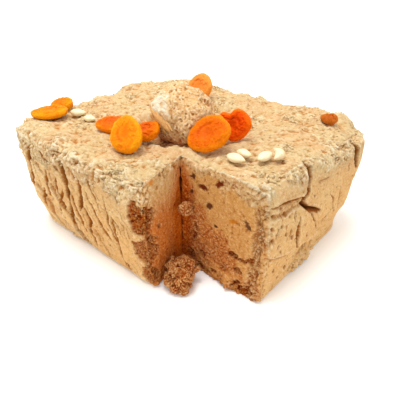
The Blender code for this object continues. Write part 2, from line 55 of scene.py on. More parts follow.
# ---- the slab, as the CAD has it: a rounded rectangle that narrows downwards ----
HEIGHT = 0.100
BASE_CORNERS = [(0.115, 0.094), (-0.119, 0.092), (-0.119, -0.090), (0.115, -0.091)]
BASE_RADII = [0.024, 0.034, 0.026, 0.024]
TOP_CORNERS = [(0.129, 0.108), (-0.127, 0.102), (-0.124, -0.109), (0.104, -0.094)]
TOP_RADII = [0.034, 0.058, 0.036, 0.030]
BULGE = 0.003
RIM_ROUND = 0.013
BASE_ROUND = 0.004
ARC_STEPS = 13  # points on each rounded corner
DISH_CENTRE = (0.006, 0.004)
DISH_RADIUS = 0.047
DISH_DEPTH = 0.0055
DISH_LIP = 0.007
SEAT_MARGIN = 0.004
# The upright edges of the notch: (x, y, how far around it is worn, how deep)
WORN_EDGES = [(0.0432, -0.0960, 0.014, 0.0050), (0.1130, -0.0522, 0.012, 0.0042)]

# ---- the two knife cuts: their crease, and where each ends ----
CREASE = np.array((0.034, -0.049))
LEFT_CUT_END = np.array((0.044, -0.100))
RIGHT_CUT_END = np.array((0.130, -0.0525))
RIGHT_CUT_SLOPE = 0.036  # how far the right cut runs towards -Y for each metre along X
CREASE_OPENING = 0.0034
DIAGONAL = 0.707  # of a way along the plan's diagonal, the share along X and along Y

# ---- meshes ----
BLOCK_VOXEL = 0.0010
LUMP_VOXEL = 0.0006
SMALL_VOXEL = 0.0004
FACET_SMOOTHING = 7  # rounds that take a CAD solid's facets away
CRUMB_SMOOTHING = 8  # rounds that take the slab's crumb away
BROAD_SMOOTHING = 24  # further rounds that take its unevenness away
BESIDE_SMOOTHING = 10  # rounds that spread tears and cracks to what lies beside them
LUMP_SMOOTHING = 12  # rounds that take a lump's crumb away

# ---- walls as planes: the way each faces and its along direction ----
WALLS = {
    "front": ((0, -1, 0), (1, 0, 0)),
    "right": ((1, 0, 0), (0, 1, 0)),
    "back": ((0, 1, 0), (1, 0, 0)),
    "left": ((-1, 0, 0), (0, 1, 0)),
}

# Cracks in millimetres: ([(along the wall, height), ...], half width, depth, lip)
FRONT_CRACKS = [
    ([(-82, 92), (-88, 72), (-94, 56), (-101, 38)], 2.6, 7.0, 0.7),
    ([(-44, 82), (-40, 68), (-43, 53), (-47, 34), (-45, 14), (-36, 6)], 2.5, 7.0, 1.0),
    ([(-22, 80), (-24, 64), (-31, 48)], 2.2, 5.0, 0.8),
    ([(-26, 55), (-22, 41), (-25, 28), (-24, 10)], 1.9, 4.4, 0.9),
    ([(-13, 85), (-9, 71), (-4, 57)], 1.2, 2.2, 0.5),
    ([(3, 74), (4, 60), (6, 42), (10, 24)], 1.4, 3.0, 0.6),
    ([(-79, 51), (-84, 40), (-93, 20)], 1.9, 4.0, 0.7),
    ([(-43, 90), (-38, 77), (-41, 66)], 3.0, 7.5, 0.4),
    ([(-48, 62), (-56, 50), (-61, 40)], 1.2, 2.8, 0.6),
    ([(-56, 76), (-59, 62), (-58, 48), (-50, 30), (-48, 12)], 1.7, 4.0, 0.6),
    ([(-66, 92), (-60, 86), (-48, 80)], 1.6, 3.0, 0.6),
    ([(-60, 40), (-68, 24), (-72, 8)], 1.6, 3.0, 0.7),
    ([(12, 16), (18, 3)], 1.4, 3.0, 0.4),
    ([(-17, 66), (-8, 49), (3, 31)], 1.5, 3.2, 0.3),
    ([(9, 57), (10, 30), (12, 6)], 1.2, 2.4, 0.2),
    ([(-67, 74), (-71, 57), (-75, 40)], 1.8, 4.0, 0.5),
    ([(-37, 61), (-36, 42), (-33, 20)], 1.4, 3.2, 0.3),
    ([(22, 55), (27, 38), (33, 26)], 0.9, 1.5, 0.4),
    ([(16, 62), (20, 48)], 0.8, 1.3, 0.3),
    ([(-10, 48), (-6, 30), (-2, 14)], 1.0, 1.8, 0.5),
]
RIGHT_CRACKS = [
    ([(3, 101), (0, 88), (-1, 78), (-10, 73)], 3.2, 8.5, 0.0),
    ([(-12, 75), (1, 64), (24, 50)], 2.1, 5.5, 0.6),
    ([(-50, 84), (-34, 85), (-20, 81), (-4, 77)], 1.2, 2.4, 0.8),
    ([(64, 98), (67, 86), (74, 70)], 2.6, 6.5, 0.4),
    ([(-11, 63), (-12, 50), (-10, 32)], 1.7, 3.0, 0.7),
    ([(2, 61), (11, 49), (25, 31)], 1.2, 2.2, 0.6),
    ([(-46, 41), (-29, 34), (-7, 30), (24, 26)], 1.2, 1.6, 0.6),
    ([(30, 30), (47, 44)], 1.2, 1.8, 0.4),
    ([(34, 62), (44, 50), (50, 36)], 0.9, 1.3, 0.3),
    ([(14, 80), (30, 79)], 0.7, 1.0, 0.2),
]
HIDDEN_CRACKS = 7  # on each of the two walls behind
HIDDEN_SEED = 11
FINE_CRACKS = {"front": 60, "right": 12, "back": 24, "left": 20}
FINE_SEED = 40

# A slab of skin that stands out on the right wall, in millimetres: its outline and by how much
RIGHT_SLAB = [
    (-60, 77), (-12, 72), (2, 61), (11, 49), (22, 33),
    (24, 27), (-7, 31), (-29, 35), (-46, 42), (-60, 47),
]
RIGHT_SLAB_STEP = 2.3

# The dent low on the right wall: (along the wall, height) of its middle, its half sizes and its depth
DENT_MIDDLE = (0.036, 0.028)
DENT_SIZE = (0.009, 0.008)
DENT_DEPTH = 0.0040

# The skin's plates: how far they lean on each wall, and their size
PLATES = {"front": 0.42, "back": 0.10, "left": -0.15}
PLATE_WIDTH = 0.013
PLATE_TALL = 0.040
PLATE_STEP = 0.0034

# Torn places in millimetres: (middle, half sizes, depth, how dark)
TORN = [
    ((38, -96, 67), (11, 11, 14), 3.2, 1.0),
    ((38, -92, 38), (12, 12, 14), 2.8, 0.70),
    ((39, -92, 12), (8, 10, 11), 2.6, 0.80),
    ((98, -51, 6), (10, 6, 6), 3.5, 0.95),
    ((87, -51, 34), (5, 5, 4), 2.6, 1.0),
    ((97, -51, 33), (4, 4, 2.5), 1.8, 0.9),
    ((104, -51, 36), (4, 4, 3), 1.8, 0.9),
    ((60, -50, 3), (10, 6, 5), 2.5, 0.55),
    ((46, -50, 31), (4, 4, 6), 1.8, 0.8),
    ((50, -50, 42), (3, 4, 4), 1.6, 0.7),
    ((44, -51, 12), (6, 5, 6), 2.2, 0.75),
    ((38, -80, 55), (4, 3.5, 3), 2.2, 1.0),
    ((70, -52, 8), (5, 4, 3), 2.0, 0.7),
    ((79, -52, 15), (4, 4, 2.5), 2.0, 0.8),
    ((92, -52, 21), (4, 4, 2.5), 2.0, 0.9),
    ((56, -50, 18), (4, 4, 3), 1.8, 0.7),
    ((-50, -101, 96), (5, 6, 6), 2.5, 0.35),
    ((-25, -99, 96), (4, 6, 6), 2.0, 0.35),
]

# Small holes in the right wall in millimetres: (along the wall, height, half width)
RIGHT_HOLES = [
    (-44, 77, 1.5), (-31, 73, 1.2), (-30, 62, 1.1), (-20, 48, 1.5), (-45, 57, 1.4), (-33, 41, 1.0),
    (-20, 17, 1.6), (-43, 39, 1.3), (-37, 25, 1.2), (-38, 81, 1.3), (-24, 79, 1.2), (-15, 77, 1.1),
    (8, 71, 0.9), (27, 63, 1.0), (-36, 66, 0.9), (-26, 69, 1.0), (-39, 50, 1.0), (-28, 55, 1.2),
    (-47, 68, 1.3), (-14, 43, 1.0), (-8, 21, 1.0), (-29, 12, 1.1), (4, 36, 1.0),
]

# Dark and orange bits in the right cut, in millimetres and degrees:
# (x, height, half width, half height, turn, colour)
REDDISH = (0.17, 0.022, 0.003)
BROWNISH = (0.130, 0.036, 0.010)
RUSTY = (0.62, 0.20, 0.02)
GREYISH = (0.165, 0.058, 0.020)
CUT_SPECKS = [
    (47.5, 86.4, 2.3, 3.1, 30, BROWNISH),
    (57.5, 81.5, 4.8, 2.2, 0, REDDISH),
    (73.0, 89.5, 3.8, 2.4, -30, REDDISH),
    (63.6, 67.5, 2.6, 3.2, 35, BROWNISH),
    (98.8, 66.0, 3.0, 4.2, -25, GREYISH),
    (86.8, 64.0, 4.2, 1.7, -20, RUSTY),
    (45.6, 72.6, 1.6, 1.8, 0, BROWNISH),
    (94.0, 11.0, 2.6, 2.1, 0, REDDISH),
    (70.5, 52.0, 1.6, 1.3, 0, BROWNISH),
]

SPECK_THICK = 4  # how far a bit's colour reaches into the cut, in millimetres

# The orange stain high on the left cut, in millimetres: (middle, half sizes, colour)
STAINS = [((39.6, -85.0, 94.4), (4.0, 3.0, 2.0), (0.80, 0.27, 0.035))]


# ---------------------------------------------------------------- small helpers

def smoothstep(low, high, value):
    """0 at `low` rising smoothly to 1 at `high`, which may also be the lower of the two."""
    t = np.clip((value - low) / (high - low), 0, 1)
    return t * t * (3 - 2 * t)


def fade(low, high, value):
    """1 at `low` falling smoothly to 0 at `high`."""
    return 1 - smoothstep(low, high, value)


def highest(*values):
    """The highest of the values at each point."""
    return reduce(np.maximum, values)


def fractal(points, wavelength, octaves, offset):
    """Fractal noise of about -1 to 1 at each point. The offset picks a place in the noise."""
    scaled = points / wavelength + np.array((offset, 1.7 * offset, -0.6 * offset))
    return np.array([noise.fractal(p, 1.0, 2.0, octaves) for p in scaled.tolist()])


def cells(points, size, offset):
    """Of the cell each point is in: the way to its seat, to its border, and a chance of its own."""
    found = [noise.voronoi(p) for p in (points / size + offset).tolist()]
    away = np.array([distances[:2] for distances, _ in found])
    seats = np.array([seat[0][:] for _, seat in found])
    chance = np.abs(np.sin(seats @ np.array((12.99, 78.23, 37.72))) * 4375.85) % 1
    return away[:, 0], away[:, 1] - away[:, 0], chance


def grains(points, size, offset):
    """Rounded grains about `size` across: 1 on a grain's crown, 0 in the seams between grains."""
    _, border, _ = cells(points, size, offset)
    return np.clip(1.6 * border, 0, 1) ** 0.6


def rubble(points, size, offset):
    """Rounded grains of uneven height: 0 in the seams, up to 1 on the highest crowns."""
    _, border, chance = cells(points, size, offset)
    return np.clip(1.6 * border, 0, 1) ** 0.6 * (0.45 + 0.55 * chance)


def creases(points, wavelength, width, offset):
    """Thin winding lines: 1 along their middle, 0 outside."""
    return fade(0.0, width, np.abs(fractal(points, wavelength, 3, offset)))


def pits(points, size, reach, share, offset):
    """Hollows, at most one to a cell and in a share of the cells: 1 in their middle, 0 outside."""
    away, _, chance = cells(points, size, offset)
    radius = reach * np.sqrt(np.clip(1 - chance / share, 0, 1))
    return np.clip(1 - away / np.maximum(radius, 1e-6), 0, 1) ** 0.6


def ledges(height, steps, edge):
    """The height made into terraces whose fronts take up `edge` of each step."""
    scaled = height * steps
    whole = np.floor(scaled)
    return (whole + smoothstep(1 - edge, 1.0, scaled - whole)) / steps


def depth_inside(u, z, outline):
    """How far each point lies inside a closed outline, below 0 outside it."""
    best = np.full(len(u), 1e9)
    within = np.zeros(len(u), bool)
    for (u0, z0), (u1, z1) in zip(outline, outline[1:] + outline[:1]):
        du, dz = u1 - u0, z1 - z0
        t = np.clip(((u - u0) * du + (z - z0) * dz) / (du * du + dz * dz), 0, 1)
        best = np.minimum(best, np.hypot(u - u0 - t * du, z - z0 - t * dz))
        within ^= ((z0 > z) != (z1 > z)) & (u < (z - z0) * du / (dz or 1e-9) + u0)
    return np.where(within, best, -best)


def read_points(mesh):
    points = np.zeros(len(mesh.vertices) * 3, np.float32)
    mesh.vertices.foreach_get("co", points)
    return points.reshape(-1, 3).astype(float)


def read_normals(mesh):
    normals = np.zeros(len(mesh.vertices) * 3, np.float32)
    mesh.vertices.foreach_get("normal", normals)
    return normals.reshape(-1, 3).astype(float)


def write_points(mesh, points):
    mesh.vertices.foreach_set("co", points.astype(np.float32).ravel())
    mesh.update()


def write_looks(mesh, **looks):
    """Writes each look as an attribute, from one number or from one for each vertex."""
    for name, values in looks.items():
        made = mesh.attributes.new(name, "FLOAT", "POINT")
        made.data.foreach_set("value", np.full(len(mesh.vertices), values, np.float32))


def read_attribute(mesh, name):
    values = np.zeros(len(mesh.vertices), np.float32)
    mesh.attributes[name].data.foreach_get("value", values)
    return values.astype(float)


def averaged(mesh, values, rounds):
    """The values averaged with their neighbours along the mesh's edges, over and over."""
    ends = np.zeros(len(mesh.edges) * 2, np.int32)
    mesh.edges.foreach_get("vertices", ends)
    a, b = ends.reshape(-1, 2).T
    count = len(mesh.vertices)
    share = np.bincount(a, minlength=count) + np.bincount(b, minlength=count)
    columns = values.reshape(count, -1).astype(float)
    for _ in range(rounds):
        around = [
            np.bincount(a, weights=c[b], minlength=count) + np.bincount(b, weights=c[a], minlength=count)
            for c in columns.T
        ]
        columns = 0.5 * columns + 0.5 * np.column_stack(around) / np.maximum(share, 1)[:, None]
    return columns.reshape(values.shape)


def standing_out(mesh, points, level):
    """How far each point stands out from a smoother level of its mesh, below 0 in hollows."""
    return np.einsum("ij,ij->i", points - level, read_normals(mesh))


def new_object(name, data):
    made = bpy.data.objects.new(name, data)
    bpy.context.scene.collection.objects.link(made)
    return made


def new_piece(name, mesh, finish):
    piece = new_object(name, mesh)
    mesh.materials.clear()
    mesh.materials.append(finish)
    mesh.shade_smooth()
    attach(piece, "root")
    return piece


def mesh_of(shape, name):
    mesh = bpy.data.meshes.new(name)
    shape.to_mesh(mesh)
    shape.free()
    return mesh


def close_skin(shape, rings):
    """Joins rings of vertices into a tube and shuts both its ends."""
    for below, above in zip(rings, rings[1:]):
        for i in range(len(below)):
            j = (i + 1) % len(below)
            shape.faces.new((below[i], below[j], above[j], above[i]))
    shape.faces.new(list(reversed(rings[0])))
    shape.faces.new(rings[-1])


def evenly_faced(made, voxel):
    """A new mesh: the object as its modifiers leave it, in even faces."""
    even = made.modifiers.new("even_faces", "REMESH")
    even.mode = "VOXEL"
    even.voxel_size = voxel
    bpy.context.view_layer.update()
    shaped = made.evaluated_get(bpy.context.evaluated_depsgraph_get())
    return bpy.data.meshes.new_from_object(shaped)


def remeshed(node, voxel):
    """A new mesh: the CAD node's own, in even faces and with its facets smoothed away."""
    copy = new_object("remeshing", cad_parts[node].data.copy())
    mesh = evenly_faced(copy, voxel)
    bpy.data.objects.remove(copy)
    if "sharp_face" in mesh.attributes:
        mesh.attributes.remove(mesh.attributes["sharp_face"])
    write_points(mesh, averaged(mesh, read_points(mesh), FACET_SMOOTHING))
    return mesh


def refine(mesh, chosen):
    """Splits the faces whose vertices are all chosen into four."""
    shape = bmesh.new()
    shape.from_mesh(mesh)
    edges = [e for e in shape.edges if chosen[e.verts[0].index] and chosen[e.verts[1].index]]
    bmesh.ops.subdivide_edges(shape, edges=edges, cuts=1, use_grid_fill=True)
    shape.to_mesh(mesh)
    shape.free()


# ---------------------------------------------------------------- materials

class Tree:
    """Short calls for building a material's node tree."""

    def __init__(self, name):
        self.material = bpy.data.materials.new(name)
        self.material.use_nodes = True
        self.nodes = self.material.node_tree.nodes
        self.links = self.material.node_tree.links
        self.shader = self.nodes["Principled BSDF"]
        self.place = self.add("ShaderNodeTexCoord").outputs["Object"]

    def add(self, kind, **settings):
        node = self.nodes.new(kind)
        for key, value in settings.items():
            setattr(node, key, value)
        return node

    def put(self, socket, value):
        if isinstance(value, bpy.types.NodeSocket):
            self.links.new(value, socket)
        elif isinstance(value, tuple) and len(value) == 3 and socket.type == "RGBA":
            socket.default_value = (*value, 1)
        else:
            socket.default_value = value

    def fill(self, node, values):
        """Links or sets the node's sockets by their names."""
        for name, value in values.items():
            self.put(node.inputs[name], value)
        return node

    def noise(self, wavelength, detail=3.0, roughness=0.55):
        values = {"Vector": self.place, "Scale": 1 / wavelength, "Detail": detail, "Roughness": roughness}
        return self.fill(self.add("ShaderNodeTexNoise"), values).outputs["Fac"]

    def cells(self, size):
        values = {"Vector": self.place, "Scale": 1 / size}
        return self.fill(self.add("ShaderNodeTexVoronoi"), values).outputs["Distance"]

    def attribute(self, name):
        return self.add("ShaderNodeAttribute", attribute_name=name).outputs["Fac"]

    def math(self, operation, a, b, clamp=False):
        node = self.add("ShaderNodeMath", operation=operation, use_clamp=clamp)
        self.put(node.inputs[0], a)
        self.put(node.inputs[1], b)
        return node.outputs[0]

    def times(self, a, b):
        return self.math("MULTIPLY", a, b)

    def plus(self, a, b, clamp=False):
        return self.math("ADD", a, b, clamp)

    def span(self, value, low, high):
        """0 where the value is `low`, rising smoothly to 1 where it is `high`."""
        node = self.add("ShaderNodeMapRange", interpolation_type="SMOOTHSTEP")
        return self.fill(node, {"Value": value, "From Min": low, "From Max": high}).outputs["Result"]

    def mix(self, factor, a, b, blend="MIX"):
        node = self.add("ShaderNodeMix", data_type="RGBA", blend_type=blend)
        factor_in, colour_a, colour_b = node.inputs[0], node.inputs[6], node.inputs[7]
        self.put(factor_in, factor)
        self.put(colour_a, a)
        self.put(colour_b, b)
        return node.outputs[2]

    def bump(self, height, distance, strength):
        values = {"Height": height, "Distance": distance, "Strength": strength}
        node = self.fill(self.add("ShaderNodeBump"), values)
        self.put(self.shader.inputs["Normal"], node.outputs["Normal"])

    def from_spot(self, middle, turn, half_sizes):
        """The way from the middle of a spot turned about Y, which is 1 at the spot's edge."""
        turned = (0, math.radians(turn), 0)
        values = {"Vector": self.place, "Location": middle, "Rotation": turned, "Scale": half_sizes}
        node = self.fill(self.add("ShaderNodeMapping", vector_type="TEXTURE"), values)
        length = self.add("ShaderNodeVectorMath", operation="LENGTH")
        self.put(length.inputs[0], node.outputs[0])
        return length.outputs["Value"]


# Colours of halva: its dry outside, the dusty crumb, the knife-smeared inside and the torn crumb, with a
# painted highlight for its crests and painted shade for its notch, hollows, crease and cracks
TOP_TAN = (0.610, 0.440, 0.220)
TOP_BLUSH = (0.620, 0.370, 0.170)
WALL_TAN = (0.790, 0.480, 0.190)
WALL_WARM = (0.750, 0.405, 0.138)
CREAM = (0.880, 0.680, 0.380)
# partly the paler dry crumb, partly a painted highlight on crests
RIDGE_CREAM_AND_HIGHLIGHT = (0.950, 0.845, 0.620)
CUT_TAN = (0.650, 0.320, 0.090)
# painted shade: deep in the notch, under the lump and low on the lump
CUT_DEEP_SHADE = (0.640, 0.130, 0.004)
TORN_BROWN = (0.480, 0.095, 0.004)
# partly the grains' lighter tan, partly a painted highlight on their crowns
GRAIN_TAN_AND_HIGHLIGHT = (0.900, 0.480, 0.125)
# painted shade: the tint multiplied into hollows, cracks, seams and holes of the outside
HOLLOW_SHADE_TINT = (0.52, 0.27, 0.090)
# painted shade: warm darkening in broad hollows of the top and rim
WARM_SHADE_TINT = (0.96, 0.72, 0.44)
# painted shade: the tint multiplied into hollows of the cut and torn inside
INNER_SHADE_TINT = (0.54, 0.17, 0.020)
# painted shade: near black in the crease and the deepest cracks
GAP_SHADE = (0.075, 0.017, 0.002)
PALE_DUST = (0.840, 0.760, 0.580)
# Colours of peeled peanuts, the last one at their tips
PEANUT_PALE = (0.80, 0.68, 0.45)
PEANUT_TAN = (0.76, 0.54, 0.28)
PEANUT_TIP = (0.56, 0.33, 0.13)
# Each apricot finish: the material's name, and the colours of its crown, its body and its shade: the crown
# colour is painted light on the upper side and the thin edge, the shade colour is painted shade in the
# hollow and the fold and also the tone of random blotches
APRICOT_FINISHES = {
    "orange": ("apricot", (0.72, 0.200, 0.001), (0.62, 0.078, 0.0006), (0.44, 0.034, 0.0003)),
    "yellow": ("light_apricot", (0.80, 0.31, 0.004), (0.70, 0.155, 0.001), (0.56, 0.075, 0.0005)),
    "pale": ("pale_apricot", (0.80, 0.31, 0.050), (0.76, 0.215, 0.030), (0.62, 0.12, 0.012)),
    "red": ("dark_apricot", (0.86, 0.140, 0.001), (0.80, 0.058, 0.0005), (0.56, 0.026, 0.0003)),
    "brown": ("brown_apricot", (0.50, 0.150, 0.015), (0.46, 0.100, 0.008), (0.30, 0.045, 0.003)),
}


def halva_material(name, specks=(), stains=()):
    t = Tree(name)
    crumb = t.noise(1.8 * MM, 6, 0.75)
    mottle = t.noise(5.0 * MM, 4, 0.6)
    cloud = t.noise(24 * MM, 3)
    cavity, ridge, gap = map(t.attribute, ("cavity", "ridge", "gap"))
    top, pale, cut, deep, torn = map(t.attribute, ("top", "pale", "cut", "deep", "torn"))
    dust, rough, low_lying = map(t.attribute, ("dust", "rough", "low_lying"))

    warm = t.times(t.span(cloud, 0.40, 0.62), 0.7)
    outside = t.mix(top, t.mix(warm, WALL_TAN, WALL_WARM), t.mix(warm, TOP_TAN, TOP_BLUSH))
    speckled = t.times(pale, t.span(mottle, 0.36, 0.60))
    colour = t.mix(t.times(speckled, 0.8), outside, CREAM)
    # The deep share is painted shade; the cut and torn shares are the inside's own colours
    for share, inside in ((cut, CUT_TAN), (deep, CUT_DEEP_SHADE), (torn, TORN_BROWN)):
        colour = t.mix(share, colour, inside)

    inner = t.math("MAXIMUM", t.math("MAXIMUM", deep, torn), t.times(cut, 0.6))
    # Painted highlight, partly the paler dry crumb: lighter where the crumb's bump is high and on the
    # crests the mesh marks
    light = t.times(t.span(crumb, 0.50, 0.64), rough)
    light = t.plus(t.times(light, 0.7), t.times(ridge, 0.6), True)
    colour = t.mix(light, colour, t.mix(inner, RIDGE_CREAM_AND_HIGHLIGHT, GRAIN_TAN_AND_HIGHLIGHT))
    # Painted shade: darker where the crumb's bump is low, in small pits, and where the mesh marks cavities
    hollow = t.times(t.span(crumb, 0.48, 0.34), rough)
    small_pits = t.times(t.span(t.cells(4.0 * MM), 0.20, 0.12), t.span(mottle, 0.46, 0.54))
    hollow = t.plus(hollow, t.times(small_pits, 0.7))
    hollow = t.plus(t.times(hollow, 0.8), cavity, True)
    colour = t.mix(hollow, colour, t.mix(inner, HOLLOW_SHADE_TINT, INNER_SHADE_TINT), "MULTIPLY")
    # Painted shade: warm darkening in the broad hollows of the top and rim
    colour = t.mix(low_lying, colour, WARM_SHADE_TINT, "MULTIPLY")
    colour = t.mix(t.times(dust, t.span(mottle, 0.30, 0.50)), colour, PALE_DUST)
    uneven = t.plus(t.times(mottle, 2.6), t.times(crumb, 1.2))
    for x, z, half_x, half_z, turn, tint in specks:
        middle = (x * MM, CREASE[1] - RIGHT_CUT_SLOPE * (x * MM - CREASE[0]), z * MM)
        away = t.from_spot(middle, turn, (half_x * MM, SPECK_THICK * MM, half_z * MM))
        colour = t.mix(t.span(t.plus(away, uneven), 3.25, 2.45), colour, tint)
    for middle, half_sizes, tint in stains:
        away = t.from_spot([v * MM for v in middle], 0, [v * MM for v in half_sizes])
        stained = t.span(t.plus(away, uneven), 3.40, 2.30)
        colour = t.mix(t.times(stained, 0.8), colour, tint)
    # Painted shade in the crease and the deepest cracks
    colour = t.mix(gap, colour, GAP_SHADE)
    t.fill(t.shader, {"Base Color": colour, "Roughness": 0.75, "Specular IOR Level": 0.05})

    height = t.times(crumb, t.plus(0.35, rough))
    height = t.math("SUBTRACT", height, t.times(small_pits, 0.3))
    t.bump(height, 2.2 * MM, 1.0)
    return t.material


def apricot_material(name, crown, body, shade):
    t = Tree(name)
    blotch = t.noise(8 * MM, 3)
    fine = t.noise(1.1 * MM, 3, 0.6)
    # Painted light: lighter on the upper side and at the thin edge, as if lit through
    light = t.math("MAXIMUM", t.times(t.attribute("crown"), 0.55), t.attribute("edge"))
    colour = t.mix(light, body, crown)
    blotchy, mottled = t.span(blotch, 0.60, 0.35), t.span(fine, 0.50, 0.40)
    # Painted shade in the hollow and the fold; the blotches and mottling are random tone
    for where, strength in ((blotchy, 0.30), (t.attribute("hollow"), 0.6), (mottled, 0.25)):
        colour = t.mix(t.times(where, strength), colour, shade)
    t.fill(t.shader, {
        "Base Color": colour, "Roughness": 0.50, "Specular IOR Level": 0.06, "Subsurface Weight": 0.20,
        "Subsurface Radius": (1.0, 0.30, 0.05), "Subsurface Scale": 3.0 * MM,
    })
    t.bump(fine, 0.30 * MM, 0.8)
    return t.material


def peanut_material(name):
    t = Tree(name)
    blotch = t.noise(3.5 * MM, 3)
    fine = t.noise(0.7 * MM, 3, 0.6)
    colour = t.mix(t.span(blotch, 0.45, 0.75), PEANUT_PALE, PEANUT_TAN)
    colour = t.mix(t.times(t.attribute("tip"), 0.55), colour, PEANUT_TIP)
    t.fill(t.shader, {
        "Base Color": colour, "Roughness": 0.40, "Subsurface Weight": 0.15,
        "Subsurface Radius": (1.0, 0.6, 0.3), "Subsurface Scale": 1.5 * MM,
    })
    t.bump(fine, 0.2 * MM, 0.5)
    return t.material


# ---------------------------------------------------------------- the slab's relief

def groove(u, z, line, half_width, depth, lip):
    """A crack along a line: steep on one side, sloping on the other, with a raised lip."""
    best = np.full(len(u), 1e9)
    side = np.zeros(len(u))
    travelled = np.zeros(len(u))
    total = sum(math.dist(a, b) for a, b in zip(line, line[1:]))
    done = 0.0
    for (u0, z0), (u1, z1) in zip(line, line[1:]):
        length = math.dist((u0, z0), (u1, z1))
        du, dz = (u1 - u0) / length, (z1 - z0) / length
        t = np.clip((u - u0) * du + (z - z0) * dz, 0, length)
        off_u, off_z = u - u0 - t * du, z - z0 - t * dz
        away = np.hypot(off_u, off_z)
        nearer = away < best
        best = np.where(nearer, away, best)
        side = np.where(nearer, off_u * dz - off_z * du, side)
        travelled = np.where(nearer, (done + t) / total, travelled)
        done += length
    taper = 0.25 + 0.75 * np.sqrt(np.clip(4 * travelled * (1 - travelled), 0, 1))
    width = half_width * taper
    reach = np.where(side > 0, 1.7 * width, 0.8 * width)
    cut = depth * taper * np.clip(1 - best / reach, 0, 1) ** 0.8
    raised = lip * taper * np.exp(-((side + 1.8 * width) / (1.1 * width)) ** 2) * (best < 4 * width)
    return cut, raised


def hidden_cracks(wall):
    """The slanting cracks of a wall behind, as the CAD lays them out, in millimetres."""
    draw = random.Random(HIDDEN_SEED + len(wall))
    reach = 85 if wall == "left" else 100
    made = []
    for i in range(HIDDEN_CRACKS):
        u = -reach + 2 * reach * (i + 0.5 + draw.uniform(-0.3, 0.3)) / HIDDEN_CRACKS
        top = draw.uniform(60, 88)
        drop = draw.uniform(30, 55)
        lean = draw.uniform(-4, 16)
        middle = (u + 0.5 * lean + draw.uniform(-3, 3), top - 0.5 * drop)
        line = [(u, top), middle, (u + lean, top - drop)]
        wide, deep = draw.uniform(2.2, 3.4), draw.uniform(3, 6)
        made.append((line, 0.45 * wide, 0.55 * deep, 0.5))
    return made


def fine_cracks(wall, count, seed):
    """Short shallow cracks that fan out as the wall narrows downwards, in millimetres."""
    draw = random.Random(seed)
    made = []
    for _ in range(count):
        u, z = draw.uniform(-105, 105), draw.uniform(18, 84)
        lean = 0.35 + 0.008 * (u + 20) if wall == "front" else 0.004 * u
        drop = draw.uniform(8, 30)
        lean += draw.uniform(-0.12, 0.12)
        bow = draw.uniform(-1.5, 1.5)
        line = [(u, z), (u + 0.5 * lean * drop + bow, z - 0.5 * drop), (u + lean * drop, z - drop)]
        made.append((line, draw.uniform(0.5, 0.9), draw.uniform(0.6, 1.6), draw.uniform(0.2, 0.5)))
    return made


def cracks_of(wall):
    listed = {"front": FRONT_CRACKS, "right": RIGHT_CRACKS}.get(wall)
    return (listed or hidden_cracks(wall)) + fine_cracks(wall, FINE_CRACKS[wall], len(wall) + FINE_SEED)


def cut_distances(points):
    """Distance of each point from the two knife cuts, positive in the notch."""
    made = []
    for end, side in ((LEFT_CUT_END, -1), (RIGHT_CUT_END, 1)):
        along = (end - CREASE) / np.linalg.norm(end - CREASE)
        facing = side * np.array((along[1], -along[0]))
        made.append((points[:, :2] - CREASE) @ facing)
    return made


def corner_ways(corners, i):
    """A corner, the ways from it to the one before and the one after, and half the angle between."""
    here = Vector(corners[i])
    before = (Vector(corners[i - 1]) - here).normalized()
    after = (Vector(corners[(i + 1) % len(corners)]) - here).normalized()
    return here, before, after, before.angle(after) / 2


def rounded_outline(corners, radii):
    """A closed outline with each corner replaced by an arc that touches both its sides."""
    points = []
    for i, radius in enumerate(radii):
        here, before, after, half = corner_ways(corners, i)
        centre = here + (before + after).normalized() * radius / math.sin(half)
        start = here + before * radius / math.tan(half) - centre
        for step in range(ARC_STEPS):
            turned = start.copy()
            turned.rotate(Matrix.Rotation((math.pi - 2 * half) * step / (ARC_STEPS - 1), 2))
            points.append(tuple(centre + turned))
    return points


def drawn_in(corners, inset):
    """The corners moved so that every side lies `inset` further in."""
    moved = []
    for i in range(len(corners)):
        here, before, after, half = corner_ways(corners, i)
        moved.append(tuple(here + (before + after).normalized() * inset / math.sin(half)))
    return moved


def slab_ring(height):
    """The slab's outline at a height, drawn in where the rim and the base are rounded."""
    share = height / HEIGHT
    inset = -BULGE * 4 * share * (1 - share)
    if height > HEIGHT - RIM_ROUND:
        up = height - (HEIGHT - RIM_ROUND)
        inset += RIM_ROUND - math.sqrt(max(RIM_ROUND**2 - up**2, 0))
    if height < BASE_ROUND:
        down = BASE_ROUND - height
        inset += BASE_ROUND - math.sqrt(max(BASE_ROUND**2 - down**2, 0))
    corners = [
        (b[0] + (t[0] - b[0]) * share, b[1] + (t[1] - b[1]) * share)
        for b, t in zip(BASE_CORNERS, TOP_CORNERS)
    ]
    radii = [b + (t - b) * share - inset for b, t in zip(BASE_RADII, TOP_RADII)]
    return rounded_outline(drawn_in(corners, inset), radii)


def prism(name, rings):
    """A closed object through rings of points from the lowest to the highest."""
    shape = bmesh.new()
    close_skin(shape, [[shape.verts.new(p) for p in ring] for ring in rings])
    bmesh.ops.recalc_face_normals(shape, faces=shape.faces[:])
    return new_object(name, mesh_of(shape, name))


